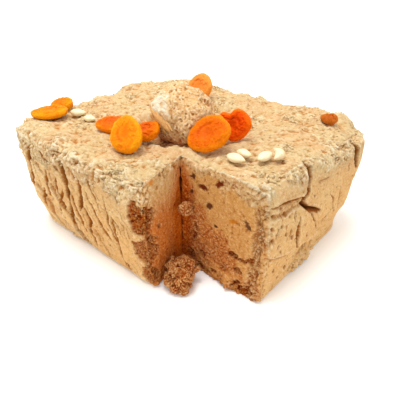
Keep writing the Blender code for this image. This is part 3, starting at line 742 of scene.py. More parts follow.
def cut_slab_mesh():
    """The plain slab with the corner cut away, in even faces."""
    turns = [math.radians(a) for a in range(0, 91, 15)]
    levels = [BASE_ROUND * (1 - math.cos(a)) for a in turns]
    levels += [HEIGHT * s for s in (0.15, 0.3, 0.45, 0.6, 0.75)]
    levels += [HEIGHT - RIM_ROUND * (1 - math.sin(a)) for a in turns]
    slab = prism("slab", [[(x, y, h) for x, y in slab_ring(h)] for h in levels])
    far, beyond = 0.09, 0.02
    (left_x, left_y), (right_x, right_y) = LEFT_CUT_END, RIGHT_CUT_END
    outline = [
        tuple(CREASE), (left_x, left_y), (left_x + 0.01, left_y - far),
        (right_x + far, left_y - far), (right_x + far, right_y), (right_x, right_y),
    ]
    cutter = prism("cutter", [[(x, y, h) for x, y in outline] for h in (-beyond, HEIGHT + beyond)])
    knife = slab.modifiers.new("knife_cuts", "BOOLEAN")
    knife.operation = "DIFFERENCE"
    knife.object = cutter
    mesh = evenly_faced(slab, BLOCK_VOXEL)
    bpy.data.objects.remove(cutter)
    bpy.data.objects.remove(slab)
    return mesh


def top_height(points, rough):
    """How far the top stands above or below its plane, as the CAD has it."""
    x, y = points[:, 0], points[:, 1]
    from_dish = np.hypot(x - DISH_CENTRE[0], y - DISH_CENTRE[1]) + 0.008 * rough
    dish = fade(DISH_RADIUS - DISH_LIP, DISH_RADIUS + DISH_LIP, from_dish)
    height = -DISH_DEPTH * dish + 0.0022 * rough * (1 - 0.5 * dish)
    height += 0.0030 * smoothstep(0.03, 0.07, x) * smoothstep(0.04, 0.10, y)
    height -= 0.0065 * smoothstep(0.085, 0.120, x) * smoothstep(0.030, 0.090, y)
    height -= 0.0035 * smoothstep(-0.055, -0.095, y) * smoothstep(-0.03, 0.03, x)
    height += 0.0025 * np.exp(-(((x - 0.088) / 0.02) ** 2 + ((y - 0.068) / 0.016) ** 2))
    height += 0.0035 * np.exp(-(((x + 0.098) / 0.03) ** 2 + ((y + 0.090) / 0.012) ** 2))
    return height


def plan_reach(points, node):
    """How far each point is from the middle of a node's box in plan, and half the box's longer side."""
    low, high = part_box(node)
    middle, size = (low + high) / 2, max((high - low).xy) / 2
    return np.hypot(points[:, 0] - middle.x, points[:, 1] - middle.y), size


def seat_share(points):
    """1 under a topping and 0 away from it."""
    share = np.zeros(len(points))
    for name in [*APRICOTS, *PEANUTS]:
        away, size = plan_reach(points, name)
        share = np.maximum(share, fade(size, size + SEAT_MARGIN, away))
    return share


def under_lump(points):
    """1 on the slab where the lump on top of it overhangs, 0 outside: where shade is painted under the
    lump.
    """
    away, size = plan_reach(points, "halva_lump")
    return fade(0.80 * size, 1.05 * size, away) * (points[:, 2] > 0.08)


def block_zones(points, normals):
    """Where each point of the slab belongs, as shares from 0 to 1."""
    zone = {"up": smoothstep(0.35, 0.8, normals[:, 2])}
    zone["from_crease"] = np.hypot(*(points[:, :2] - CREASE).T)
    left, right = cut_distances(points)
    notch = np.minimum(left, right)
    inside = smoothstep(-0.0022, -0.0010, notch) * fade(0.004, 0.007, notch)
    inside *= smoothstep(-0.004, 0.0, np.maximum(left, right))
    zone["cut"] = inside * (1 - zone["up"])
    zone["cut_left"] = zone["cut"] * (left < right)
    zone["cut_right"] = zone["cut"] * (left >= right)
    for wall, (facing, _) in WALLS.items():
        share = smoothstep(0.30, 0.70, normals @ np.array(facing, float))
        zone[wall] = share * (1 - zone["cut"])
    zone["ragged"] = fractal(points, 0.018, 4, 5.5)
    low = 0.085 + 0.004 * (zone["right"] - zone["front"])
    edge = smoothstep(low, low + 0.006, points[:, 2] + 0.011 * zone["ragged"])
    zone["rim"] = edge * fade(0.88, 0.995, normals[:, 2] + 0.12 * zone["ragged"])
    zone["rim"] *= 1 - 0.5 * zone["cut"]
    return zone


def torn_share(points, outer):
    """How dark each point's tear is, and how far it is sunk."""
    ragged = fractal(points, 0.010, 5, 14.2) + 0.5 * fractal(points, 0.0035, 2, 15.8)
    share, sunk = np.zeros(len(points)), np.zeros(len(points))
    for middle, half_sizes, depth, dark in TORN:
        reach = np.linalg.norm((points / MM - middle) / half_sizes, axis=1)
        here = outer * fade(0.84, 1.0, reach + 0.42 * ragged)
        share = np.maximum(share, dark * here)
        sunk = np.maximum(sunk, depth * MM * here * (1.15 - 0.5 * np.minimum(reach, 1)))
    return share, sunk


def horn_strip(points, zone):
    """The granulated strip down the slab's right horn, and the low left of the right cut."""
    x, _, z = points.T
    ragged = fractal(points, 0.012, 3, 21.0)
    middle = 0.1085 - 0.006 * fade(0.0, 0.045, z)
    half = 0.0045 + 0.004 * fade(0.0, 0.035, z)
    strip = fade(0.4, 1.4, np.abs(x - middle) / half + 0.8 * ragged)
    strip *= fade(0.074, 0.090, z + 0.010 * ragged)
    strip *= smoothstep(-0.066, -0.060, points[:, 1]) * fade(-0.049, -0.046, points[:, 1])
    low = fade(-0.006, 0.010, z - 0.068 + 0.8 * (x - 0.046) + 0.018 * ragged)
    low *= 1 - 0.7 * fade(0.010, 0.024, z + 0.008 * ragged) * smoothstep(0.050, 0.062, x)
    return strip * (1 - zone["up"]), low * zone["cut_right"]


def worn_shift(points):
    """How far the points near an upright edge of the notch are worn into the slab."""
    ragged = fractal(points, 0.016, 3, 12.4)
    crumbled = grains(points + 0.002 * ragged[:, None], 0.0050, 7.0)
    shift = np.zeros(len(points))
    for x, y, width, depth in WORN_EDGES:
        away = np.hypot(points[:, 0] - x, points[:, 1] - y)
        near = fade(0, width, away)
        shift += near * (depth * (0.8 + 0.9 * ragged) + 0.0024 * (0.6 - crumbled))
    return shift * (0.25 + 0.75 * smoothstep(0.002, 0.025, points[:, 2]))


def dent_reach(points):
    """How far each point lies from the middle of the right wall's dent, 1 at its edge."""
    (y, z), (half_y, half_z) = DENT_MIDDLE, DENT_SIZE
    return np.hypot((points[:, 1] - y) / half_y, (points[:, 2] - z) / half_z)


def main_relief(points, zone):
    """The slab's large relief, as the CAD has it."""
    rough = fractal(points, 0.030, 4, 3.1)
    fine = fractal(points, 0.012, 3, 8.3)
    level = 1 - 0.75 * seat_share(points)
    move = zone["up"] * top_height(points, rough * level)
    move += (1 - zone["up"]) * (1 - 0.7 * zone["cut"]) * (0.0015 * rough + 0.0007 * fine)
    _, y, z = points.T
    bulge = smoothstep(0.078, 0.080, z + 0.001 * fine) * fade(-0.006, -0.001, y)
    move += zone["right"] * 0.0026 * bulge
    slab = depth_inside(y / MM + 1.5 * fine, z / MM - 1.5 * fine, RIGHT_SLAB)
    move += zone["right"] * RIGHT_SLAB_STEP * MM * smoothstep(-0.5, 0.8, slab)
    move -= zone["right"] * 0.0030 * fade(0.020, 0.034, z) * smoothstep(0.020, 0.034, y)
    move -= zone["right"] * DENT_DEPTH * fade(0.3, 1.0, dent_reach(points))
    foot = fade(0.0, 0.020, z) * np.exp(-(((points[:, 0] - 0.086) / 0.024) ** 2))
    return move + zone["cut_right"] * 0.0060 * foot * (1 + rough)


def wall_cracks(points, zone):
    """How deep the cracks cut each point, and how far their lips raise it."""
    wander = fractal(points, 0.012, 3, 30.0)
    sway = fractal(points, 0.004, 3, 33.0)
    cut, raised = np.zeros(len(points)), np.zeros(len(points))
    for wall, (_, along) in WALLS.items():
        u = points @ np.array(along, float) / MM + 1.3 * wander + 0.7 * sway
        height = points[:, 2] / MM + 0.9 * wander - 0.5 * sway
        for crack in cracks_of(wall):
            deep, lip = groove(u, height, *crack)
            cut = np.maximum(cut, zone[wall] * deep * MM)
            raised += zone[wall] * lip * MM
    return cut * (1 - 0.5 * zone["up"]), raised


def plate_relief(points, zone):
    """The skin split into leaning plates: how far each stands out, and the seams between them."""
    wander = fractal(points, 0.016, 4, 61.0)
    move, seam = np.zeros(len(points)), np.zeros(len(points))
    for wall, lean in PLATES.items():
        u = points @ np.array(WALLS[wall][1], float) + 0.0040 * wander
        z = points[:, 2] - 0.0020 * wander
        across = (u - lean * (HEIGHT - z)) / PLATE_WIDTH
        laid = np.column_stack((across, z / PLATE_TALL, np.full(len(z), 3.3)))
        _, border, chance = cells(laid, 1.0, 5.0)
        calm = 1 - 0.75 * smoothstep(-0.045, 0.0, u) if wall == "front" else 0.55
        share = zone[wall] * (1 - zone["rim"]) * calm
        move += share * PLATE_STEP * (chance - 0.5)
        split = smoothstep(0.1, 0.5, fractal(points, 0.030, 2, 67.0) + 0.6 * (chance - 0.4))
        seam = np.maximum(seam, share * fade(0.0, 0.10, border) * split)
    return move - 0.0015 * seam, seam


def hole_depth(points, zone):
    """1 in the middle of each of the right wall's small holes."""
    _, y, z = (points / MM).T
    ragged = fractal(points, 0.004, 2, 71.0)
    hole = np.zeros(len(points))
    for along, height, half_width in RIGHT_HOLES:
        away = np.hypot(y - along, z - height) / (1.35 * half_width) + 0.4 * ragged
        hole = np.maximum(hole, fade(0.5, 1.3, away))
    return hole * zone["right"]


def speck_depth(points, zone):
    """1 in the middle of each bit in the right cut, which lies a little below the face."""
    x, _, z = (points / MM).T
    ragged = fractal(points, 0.003, 2, 77.0)
    sunk = np.zeros(len(points))
    for middle_x, middle_z, half_x, half_z, _, _ in CUT_SPECKS:
        away = np.hypot((x - middle_x) / half_x, (z - middle_z) / half_z) + 0.3 * ragged
        sunk = np.maximum(sunk, fade(0.5, 1.1, away))
    return sunk * zone["cut_right"]


def crumb_relief(points, zone, grainy):
    """The crumb of each zone, as how far it moves each point and how much painted shade its hollows get.
    """
    coarse = fractal(points, 0.016, 4, 3.3)
    crumbs = fractal(points, 0.0060, 4, 9.1)
    fine = fractal(points, 0.0024, 2, 17.5)
    patches = fractal(points, 0.034, 3, 52.0) + 0.35 * smoothstep(0.010, -0.060, points[:, 0])
    patches = smoothstep(-0.15, 0.35, patches)
    dragged = fractal(points * (1, 1, 0.14), 0.0030, 3, 23.0)
    warped = points + 0.0013 * np.column_stack((crumbs, fine, coarse))
    twisted = points + 0.0032 * np.column_stack((crumbs, coarse, -crumbs))
    small = 0.55 * rubble(twisted, 0.0058, 4.0) + 0.45 * rubble(warped, 0.0026, 2.0)
    gouges = pits(twisted * (1, 1, 0.7), 0.0105, 0.46, 0.65, 12.0)
    dents = pits(twisted, 0.0068, 0.42, 0.50, 6.0)
    holes = pits(warped * (1, 1, 0.7), 0.0036, 0.42, 0.50, 9.0)
    flaky = ledges(0.7 * coarse + 0.5 * crumbs, 2.6, 0.3)
    lines = creases(twisted, 0.020, 0.055, 27.0)
    lines *= smoothstep(-0.1, 0.4, fractal(points, 0.028, 2, 38.0))
    up, rim = zone["up"], zone["rim"]
    plain_cut = zone["cut"] * (1 - grainy)
    broken = rim * (0.35 + 0.65 * smoothstep(-0.25, 0.25, fractal(points, 0.026, 3, 64.0)))
    skin = (1 - up) * (1 - rim) * (1 - grainy) * (1 - zone["cut"])
    mounds = fractal(points, 0.026, 2, 92.0)
    move = coarse * (0.00015 + 0.00150 * up + 0.00100 * rim) + 0.00160 * mounds * up
    move += flaky * (0.00070 * up * patches + 0.00180 * broken)
    move += crumbs * (0.00012 + 0.00012 * up + 0.00030 * broken + 0.00080 * grainy + 0.00025 * plain_cut)
    move += fine * (0.00006 + 0.00004 * up + 0.00014 * broken + 0.00040 * grainy)
    move += (small - 0.5) * 0.00330 * grainy + 0.00040 * dragged * plain_cut
    dented = dents * np.clip(up * (0.05 + 0.60 * patches) + broken + 0.35 * plain_cut * patches, 0, 1)
    holed = holes * np.clip(0.45 * up * patches + broken + 0.45 * skin + 0.6 * plain_cut * patches, 0, 1)
    gouged = gouges * np.clip(broken + 0.35 * up * patches, 0, 1)
    lined = lines * np.clip(0.8 * up + broken + 0.25 * skin, 0, 1)
    move -= 0.0017 * dented + 0.0013 * holed + 0.0024 * gouged + 0.0014 * lined
    seams = 0.85 * grainy * fade(0.16, 0.40, small)
    return move, highest(0.65 * dented, holed, 0.45 * gouged, 0.8 * lined, seams)


def worn_top_edge(points, ragged):
    """How far the knife's top edges are crumbled away."""
    distances = cut_distances(points)
    outside = np.maximum(*distances) > -0.006
    near = fade(0, 0.0065, np.hypot(np.minimum(*distances), HEIGHT + 0.001 - points[:, 2]))
    return near * outside * 0.0030 * np.clip(0.75 + 0.9 * ragged, 0, 2)


def crease_share(points, zone):
    """1 in the crease between the two cuts, which has opened unevenly."""
    z = points[:, 2]
    wander = 0.0007 * fractal(points, 0.007, 3, 81.0)
    share = fade(0.0003, 0.0014, zone["from_crease"] + wander)
    share *= smoothstep(0.004, 0.02, z) * fade(0.096, 0.100, z)
    return share * (1 - 0.7 * smoothstep(0.052, 0.044, z) * smoothstep(-0.2, 0.3, zone["ragged"]))


def block_looks(mesh, points, zone):
    """Writes on the finished slab what its material reads."""
    z, up, rim, torn, grainy = points[:, 2], zone["up"], zone["rim"], zone["torn"], zone["grainy"]
    level = averaged(mesh, points, CRUMB_SMOOTHING)
    sunk = standing_out(mesh, points, level)
    broadly_sunk = standing_out(mesh, points, averaged(mesh, level, BROAD_SMOOTHING))
    cracked = smoothstep(0.0003, 0.0012, zone["crack"])
    dent = 0.75 * zone["right"] * fade(0.1, 0.8, dent_reach(points))
    # Painted shade: darker in the crumb's hollows, the cracks, the plate seams, the holes and the dent
    cavity = highest(
        0.7 * smoothstep(-0.00006, -0.00036, sunk), cracked, 0.8 * zone["seam"],
        zone["dark"] * (1 - 0.25 * up), zone["hole"], dent,
    )
    by_tear, by_crack = averaged(mesh, np.column_stack((torn, cracked + zone["seam"])), BESIDE_SMOOTHING).T
    # Painted highlight on the crests, partly paler dry crumb, kept off beside tears and cracks
    crown = smoothstep(0.00010, 0.00045, sunk)
    ridge = crown * (1 - 0.45 * grainy) * (0.45 + 0.55 * np.maximum(rim, grainy))
    ridge *= (1 - 0.85 * smoothstep(0.02, 0.25, by_tear)) * (1 - 0.9 * smoothstep(0.02, 0.30, by_crack))
    patches = smoothstep(-0.30, 0.40, fractal(points, 0.024, 4, 44.0))
    high = 0.3 * smoothstep(0.030, 0.080, z)
    high += 0.7 * smoothstep(0.070, 0.098, z + 0.010 * zone["ragged"])
    far_left = zone["front"] * smoothstep(-0.040, -0.085, points[:, 0])
    # Painted light: the upper left cut keeps less of the cut's colour, so it reads lighter
    lit = 0.75 * zone["cut_left"] * smoothstep(0.050, 0.085, z)
    # Painted shade: darker towards the crease, the bottom of the notch and its low corner, and under the
    # lump
    near, falling = fade(0.0, 0.016, zone["from_crease"]), fade(0.055, 0.088, z)
    deep = zone["cut_left"] * np.clip(0.7 * near + 0.75 * falling, 0, 1)
    deep += zone["cut_right"] * np.clip(0.8 * near + 0.10 * falling + 0.45 * zone["low"], 0, 1)
    deep *= fade(0.088, 0.100, z)
    deep += 0.45 * under_lump(points)
    rough = 0.45 - 0.10 * up * (1 - patches) + 0.25 * rim + 0.4 * grainy + 0.18 * zone["cut"]
    write_looks(
        mesh,
        # painted shade in broad hollows of the top and rim
        low_lying=smoothstep(0.0, -0.0009, broadly_sunk) * np.maximum(up, rim),
        # painted shade in the slab's hollows
        cavity=(1 - 0.15 * up) * cavity,
        # painted shade in the crease and the deepest cracks
        gap=np.maximum(zone["in_crease"], 0.75 * smoothstep(0.0016, 0.0040, zone["crack"])),
        # painted highlight on crests, partly paler dry crumb
        ridge=np.where(torn > 0.5, 0.5 * crown, ridge),
        top=np.clip(up + 0.9 * high * (1 - zone["cut_left"]), 0, 1),
        pale=np.clip(patches * (rim + 0.45 * up) + 0.5 * far_left, 0, 1),
        rim=rim * (1 - zone["cut"]),
        # less cut colour high on the left cut is painted light
        cut=zone["cut"] * (1 - rim) * (1 - lit) * (1 - 0.5 * zone["strip"]),
        # painted shade deep in the notch and under the lump
        deep=np.clip(deep, 0, 1) * (1 - torn),
        torn=torn,
        rough=np.clip(rough, 0, 1),
    )


def block_mesh():
    """The slab: even faces, finer where it is cracked or torn, moved by all its relief."""
    mesh = cut_slab_mesh()
    points, normals = read_points(mesh), read_normals(mesh)
    zone = block_zones(points, normals)
    crack, _ = wall_cracks(points, zone)
    torn, _ = torn_share(points, 1 - zone["up"])
    grained = highest(torn, *horn_strip(points, zone)) > 0.3
    refine(mesh, (zone["from_crease"] < 0.003) | (crack > 0.0003) | grained)

    points, normals = read_points(mesh), read_normals(mesh)
    zone = block_zones(points, normals)
    zone["torn"], sunk_in = torn_share(points, 1 - zone["up"])
    zone["strip"], zone["low"] = horn_strip(points, zone)
    zone["grainy"] = np.clip(zone["torn"] + 0.8 * zone["strip"] + 0.6 * zone["low"], 0, 1)
    zone["crack"], lip = wall_cracks(points, zone)
    zone["in_crease"] = crease_share(points, zone)
    zone["hole"] = hole_depth(points, zone)
    crumb, zone["dark"] = crumb_relief(points, zone, zone["grainy"])
    plates, zone["seam"] = plate_relief(points, zone)
    move = main_relief(points, zone) + crumb + plates
    speck = speck_depth(points, zone)
    out = lip - zone["crack"] - sunk_in
    move += out - 0.0012 * zone["strip"] - 0.0018 * zone["hole"] - 0.0008 * speck
    off_base = smoothstep(0.0006, 0.004, points[:, 2]) * fade(-0.5, -0.9, normals[:, 2])
    inward = DIAGONAL * worn_shift(points) + CREASE_OPENING * zone["in_crease"]
    worn_top = worn_top_edge(points, zone["ragged"])
    points += normals * (move * off_base)[:, None]
    points[:, 0] -= inward
    points[:, 1] += inward + 0.5 * worn_top
    points[:, 2] = np.maximum(points[:, 2] - 0.7 * worn_top, 0)
    write_points(mesh, points)
    block_looks(mesh, points, zone)
    return mesh


# ---------------------------------------------------------------- lumps

DUST_MIDDLE = (-0.0025, -0.0335, 0.1265)  # of the pale dust on the upper lump's near side
# The two lumps of crumb: (node, size of its grains, relief, how brown)
CRUMBLY_LUMPS = [("crease_nugget", 0.0021, 0.0010, 0.70), ("notch_lump", 0.0032, 0.0023, 0.78)]


def lump_mesh(node, voxel, grain_size, relief, clumpy, looks, dusty=False):
    """A lump: the CAD's solid with knobs, grains and holes, and what its material reads."""
    mesh = remeshed(node, voxel)
    points, normals = read_points(mesh), read_normals(mesh)
    low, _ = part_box(node)
    knobs = fractal(points, 3.6 * grain_size, 4, 4.4)
    crumbs = fractal(points, 1.5 * grain_size, 3, 6.1)
    warped = points + 0.4 * grain_size * np.column_stack((knobs, crumbs, -knobs))
    crown = grains(warped, grain_size, 1.0)
    dents = pits(warped, 2.0 * grain_size, 0.42, 0.6, 3.0)
    holes = pits(warped, 1.1 * grain_size, 0.40, 0.5, 8.0)
    clump = rubble(warped, 2.3 * grain_size, 5.0)
    move = 1.1 * ledges(knobs, 2.2, 0.3) + 0.4 * crumbs + clumpy * (clump - 0.5) + 0.4 * (crown - 0.7)
    move -= 1.1 * dents + 1.0 * holes
    move *= relief * smoothstep(0.0, 0.003, points[:, 2] - low.z)
    points += normals * move[:, None]
    points[:, 2] = np.maximum(points[:, 2], low.z)
    write_points(mesh, points)
    sunk = standing_out(mesh, points, averaged(mesh, points, LUMP_SMOOTHING))
    write_looks(
        mesh,
        # painted shade in the lump's hollows
        cavity=highest(0.8 * smoothstep(-0.00004, -0.00024, sunk), 0.75 * dents, holes),
        # painted highlight on the lump's crests, partly paler dry crumb
        ridge=0.9 * smoothstep(0.00004, 0.00028, sunk),
        # painted shade: darker towards the lump's bottom
        deep=0.45 * fade(0.001, 0.013, points[:, 2] - low.z),
        **looks,
    )
    if dusty:
        away = np.linalg.norm(points - np.array(DUST_MIDDLE), axis=1)
        write_looks(mesh, dust=fade(0.006, 0.013, away + 0.006 * fractal(points, 0.007, 4, 2.2)))
    return mesh


# Flakes that hang on the lump's near side: (points of the line, half width), in millimetres
LUMP_FLAKES = [
    ([(-8.5, -33.5, 122.8), (1.6, -37.9, 117.6), (8.0, -37.6, 112.6), (13.0, -35.6, 107.6)], 2.5),
    ([(-9.5, -33.0, 118.5), (-1.0, -37.2, 114.2), (5.2, -37.6, 109.8), (9.0, -36.0, 106.4)], 2.0),
    ([(-1.5, -36.4, 122.2), (5.0, -38.0, 117.5), (10.6, -37.2, 113.4), (15.5, -34.6, 109.6)], 1.6),
    ([(-11.0, -30.5, 114.8), (-5.0, -35.0, 111.4), (1.0, -36.6, 108.2)], 1.9),
]


def evened(rows, reach):
    """Each row averaged with those up to `reach` before and after it."""
    return np.array([np.mean(rows[max(k - reach, 0):k + reach + 1], axis=0) for k in range(len(rows))])


def lump_flakes(mesh, finish, looks):
    """Thin curved flakes laid along lines on the lump, joined into one piece."""
    surface, normals = read_points(mesh), read_normals(mesh)
    tree = kdtree.KDTree(len(surface))
    for i, point in enumerate(surface):
        tree.insert(point, i)
    tree.balance()
    sides, steps = 10, 26
    share = np.linspace(0, 1, steps)
    shape = bmesh.new()
    for number, (line, half_width) in enumerate(LUMP_FLAKES):
        at = np.linspace(0, len(line) - 1, steps)
        path = np.column_stack([np.interp(at, range(len(line)), axis) for axis in np.array(line).T]) * MM
        found = [tree.find(point)[1] for point in path]
        facing = evened(np.array([np.mean(normals[max(i - 1, 0):i + 2], axis=0) for i in found]), 3)
        facing /= np.linalg.norm(facing, axis=1)[:, None]
        path = evened(surface[found] + facing * 0.0007, 2)
        across = np.cross(np.gradient(path, axis=0), facing)
        across /= np.linalg.norm(across, axis=1)[:, None]
        wide = half_width * MM * (0.15 + 0.85 * np.sin(math.pi * np.clip(share, 0.02, 0.98)) ** 0.6)
        wide *= 1 + 0.35 * fractal(path, 0.004, 2, 7.0 * number)
        lift = 0.0012 * smoothstep(0.65, 1.0, share) + 0.0008 + 0.0005 * np.sin(5 * share + number)
        rings = []
        for k in range(steps):
            ring = []
            for j in range(sides):
                angle = math.tau * j / sides
                out = across[k] * wide[k] * math.cos(angle)
                out = out + facing[k] * (lift[k] + (0.0003 + 0.22 * wide[k]) * math.sin(angle))
                ring.append(shape.verts.new(path[k] + out))
            rings.append(ring)
        close_skin(shape, rings)
    bmesh.ops.recalc_face_normals(shape, faces=shape.faces[:])
    made = mesh_of(shape, "lump_flakes")
    new_piece("lump_flakes", made, finish)
    write_looks(made, **looks)


# ---------------------------------------------------------------- fruit and nuts

# Each as the CAD has it: half sizes, turn about its own axes in degrees, depth of its cleft
APRICOTS = {
    "apricot_front": ((0.0170, 0.0150, 0.0052), (48, 0, 40), 0.0),
    "apricot_right": ((0.0128, 0.0140, 0.0052), (76, 14, 66), 0.34),
    "apricot_left": ((0.0134, 0.0108, 0.0045), (12, 4, 30), 0.0),
    "apricot_mid_right": ((0.0128, 0.0096, 0.0050), (30, -4, 36), 0.0),
    "apricot_middle": ((0.0128, 0.0156, 0.0050), (52, 8, 38), 0.0),
    "apricot_back": ((0.0136, 0.0132, 0.0050), (60, 0, 26), 0.0),
    "apricot_corner_low": ((0.0160, 0.0120, 0.0044), (3, -5, 40), 0.0),
    "apricot_corner_high": ((0.0098, 0.0092, 0.0050), (12, 0, 40), 0.0),
    "apricot_far_right": ((0.0068, 0.0060, 0.0036), (12, 8, 30), 0.0),
}
APRICOT_COLOURS = {
    "apricot_right": "red", "apricot_far_right": "brown", "apricot_middle": "yellow",
    "apricot_back": "pale", "apricot_corner_low": "yellow", "apricot_corner_high": "yellow",
}
# Each as the CAD has it: half sizes, heading in degrees, bend
PEANUTS = {
    "peanut_1": ((0.0074, 0.0042, 0.0034), 34, 0.0),
    "peanut_2": ((0.0056, 0.0042, 0.0030), 20, 0.0),
    "peanut_3": ((0.0078, 0.0044, 0.0034), 4, 0.0),
    "peanut_4": ((0.0066, 0.0040, 0.0032), 0, 0.0),
    "peanut_5": ((0.0078, 0.0044, 0.0034), 86, 0.0),
    "peanut_6": ((0.0082, 0.0038, 0.0036), 126, 0.55),
}


def ball(subdivisions):
    shape = bmesh.new()
    bmesh.ops.create_icosphere(shape, subdivisions=subdivisions, radius=1.0)
    return mesh_of(shape, "ball")


def apricot_points(points, half_sizes, cleft):
    """A dried apricot from a unit ball: a cushion with a hollow in the middle and a wavy rim."""
    turn = np.arctan2(points[:, 1], points[:, 0])
    across = np.clip(np.hypot(points[:, 0], points[:, 1]), 0, 1)
    outline = 1 + 0.035 * np.cos(2 * turn + 0.6) + 0.030 * np.cos(3 * turn + 1.9)
    outline -= cleft * np.exp(-((turn - 0.9) / 0.42) ** 2)
    thick = np.sign(points[:, 2]) * np.abs(points[:, 2]) ** 0.8
    hollow = 0.42 * np.exp(-((across / 0.42) ** 2))
    thick -= np.where(points[:, 2] > 0, hollow, -0.5 * hollow)
    shaped = np.column_stack((
        points[:, 0] * outline * half_sizes[0],
        points[:, 1] * outline * half_sizes[1],
        thick * half_sizes[2],
    ))
    shaped[:, 2] += 0.16 * half_sizes[2] * across**2 * np.cos(2 * turn - 0.5)
    return shaped


def peanut_points(along, across, up, half_sizes, bend):
    """A peeled peanut from a unit ball: narrower towards one end, and bent sideways."""
    taper = 0.94 * (1 - 0.20 * along) * (1 - 0.34 * along**2)
    return np.column_stack((
        along * half_sizes[0],
        across * taper * half_sizes[1] + bend * half_sizes[0] * along**2,
        up * taper * half_sizes[2],
    ))


def laid_on(node, mesh, points, turn):
    """Turns the points and moves them so that their box has the CAD node's middle."""
    turned = points @ np.array(turn).T
    low, high = (np.array(corner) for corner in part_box(node))
    turned += (low + high) / 2 - (turned.min(0) + turned.max(0)) / 2
    write_points(mesh, turned)


def apricot(name, half_sizes, turn_degrees, cleft, finish):
    """The CAD's apricot with folds, wrinkles and pleats."""
    mesh = ball(6)
    unit = read_points(mesh)
    across = np.hypot(unit[:, 0], unit[:, 1])
    points = apricot_points(unit, half_sizes, cleft)
    write_points(mesh, points)
    normals = read_normals(mesh)
    offset = 3.0 * len(name) + half_sizes[0] * 1000
    folds = fractal(unit * np.array((1, 1, 0.5)), 0.55, 3, offset)
    wrinkles = fractal(unit, 0.16, 3, offset + 9)
    turning = np.arctan2(unit[:, 1], unit[:, 0])
    pleats = np.sin(8 * turning + 5 * folds + 3 * wrinkles) * smoothstep(0.2, 0.5, across)
    pleats *= smoothstep(1.0, 0.75, across)
    fold = np.exp(-(((across - 0.42) / 0.10) ** 2)) * smoothstep(-0.2, 0.9, np.sin(turning + offset))
    fold *= unit[:, 2] > 0
    relief = 0.00070 * folds + 0.00022 * wrinkles + 0.00034 * pleats - 0.00080 * fold
    points = points + normals * relief[:, None]
    hollow = np.exp(-((across / 0.40) ** 2)) * (unit[:, 2] > 0)
    write_looks(
        mesh,
        # painted light: lighter on the upper side
        crown=smoothstep(-0.3, 0.9, unit[:, 2] + 0.5 * folds),
        # painted shade in the middle hollow and the fold
        hollow=np.maximum(0.8 * hollow, fold),
        # painted light at the thin edge, as if lit through
        edge=smoothstep(0.55, 0.97, across + 0.10 * folds),
    )
    turn = Euler([math.radians(a) for a in turn_degrees], "ZYX").to_matrix()
    laid_on(name, mesh, points, turn)
    piece = new_piece("dried_" + name, mesh, finish)
    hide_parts(name)


def peanut(name, half_sizes, heading, bend, finish):
    """The CAD's peanut with the groove between its two halves."""
    mesh = ball(5)
    x, y, z = read_points(mesh).T
    points = peanut_points(z, x, y, half_sizes, bend)
    points[:, 2] -= 0.00035 * np.exp(-((x / 0.13) ** 2)) * (y > 0)
    write_looks(mesh, tip=smoothstep(0.75, 1.0, z))
    laid_on(name, mesh, points, Matrix.Rotation(math.radians(heading), 3, "Z"))
    piece = new_piece("peeled_" + name, mesh, finish)
    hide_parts(name)


# ---------------------------------------------------------------- crumbs and flakes

CRUMB_SHAPES = 9
CRUMB_SEED = 5  # of the first kind of crumb; each kind after it has the next number


def scattered(mesh, finish, seed, name, weights, count, size, flat, slot, looks):
    """Crumbs laid on a surface where the weights say, joined into one piece."""
    draw = random.Random(seed)
    points, normals = read_points(mesh), read_normals(mesh)
    chosen = draw.choices(range(len(points)), weights=weights.tolist(), k=count)
    template = ball(2)
    unit = read_points(template)
    faces = np.array([p.vertices[:] for p in template.polygons])
    bpy.data.meshes.remove(template)
    shapes = []
    for variant in range(CRUMB_SHAPES):
        knobby = 1 + 0.42 * fractal(unit + 3.1 * variant, 0.9, 2, variant)
        shapes.append(unit * knobby[:, None])
    all_points, all_faces = [], []
    for k, index in enumerate(chosen):
        shape = shapes[k % CRUMB_SHAPES]
        wide = size * draw.uniform(0.55, 1.0) * draw.uniform(0.7, 1.0)
        stretch = np.array((wide, wide * draw.uniform(0.5, 0.9), wide * flat))
        normal = Vector(normals[index])
        tilt = Vector([draw.gauss(0, 0.35) for _ in range(3)])
        turn = (normal + tilt).to_track_quat("Z", "Y") @ Quaternion((0, 0, 1), draw.uniform(0, math.tau))
        placed = (shape * stretch) @ np.array(turn.to_matrix()).T
        all_points.append(placed + points[index] + normals[index] * wide * flat * 0.25)
        all_faces.append(faces + k * len(unit))
    made = bpy.data.meshes.new(name)
    corners = np.concatenate(all_points)
    corners[:, 2] = np.maximum(corners[:, 2], 0)
    made.from_pydata(corners.tolist(), [], np.concatenate(all_faces).tolist())
    new_piece(name, made, finish)
    write_looks(made, **looks)


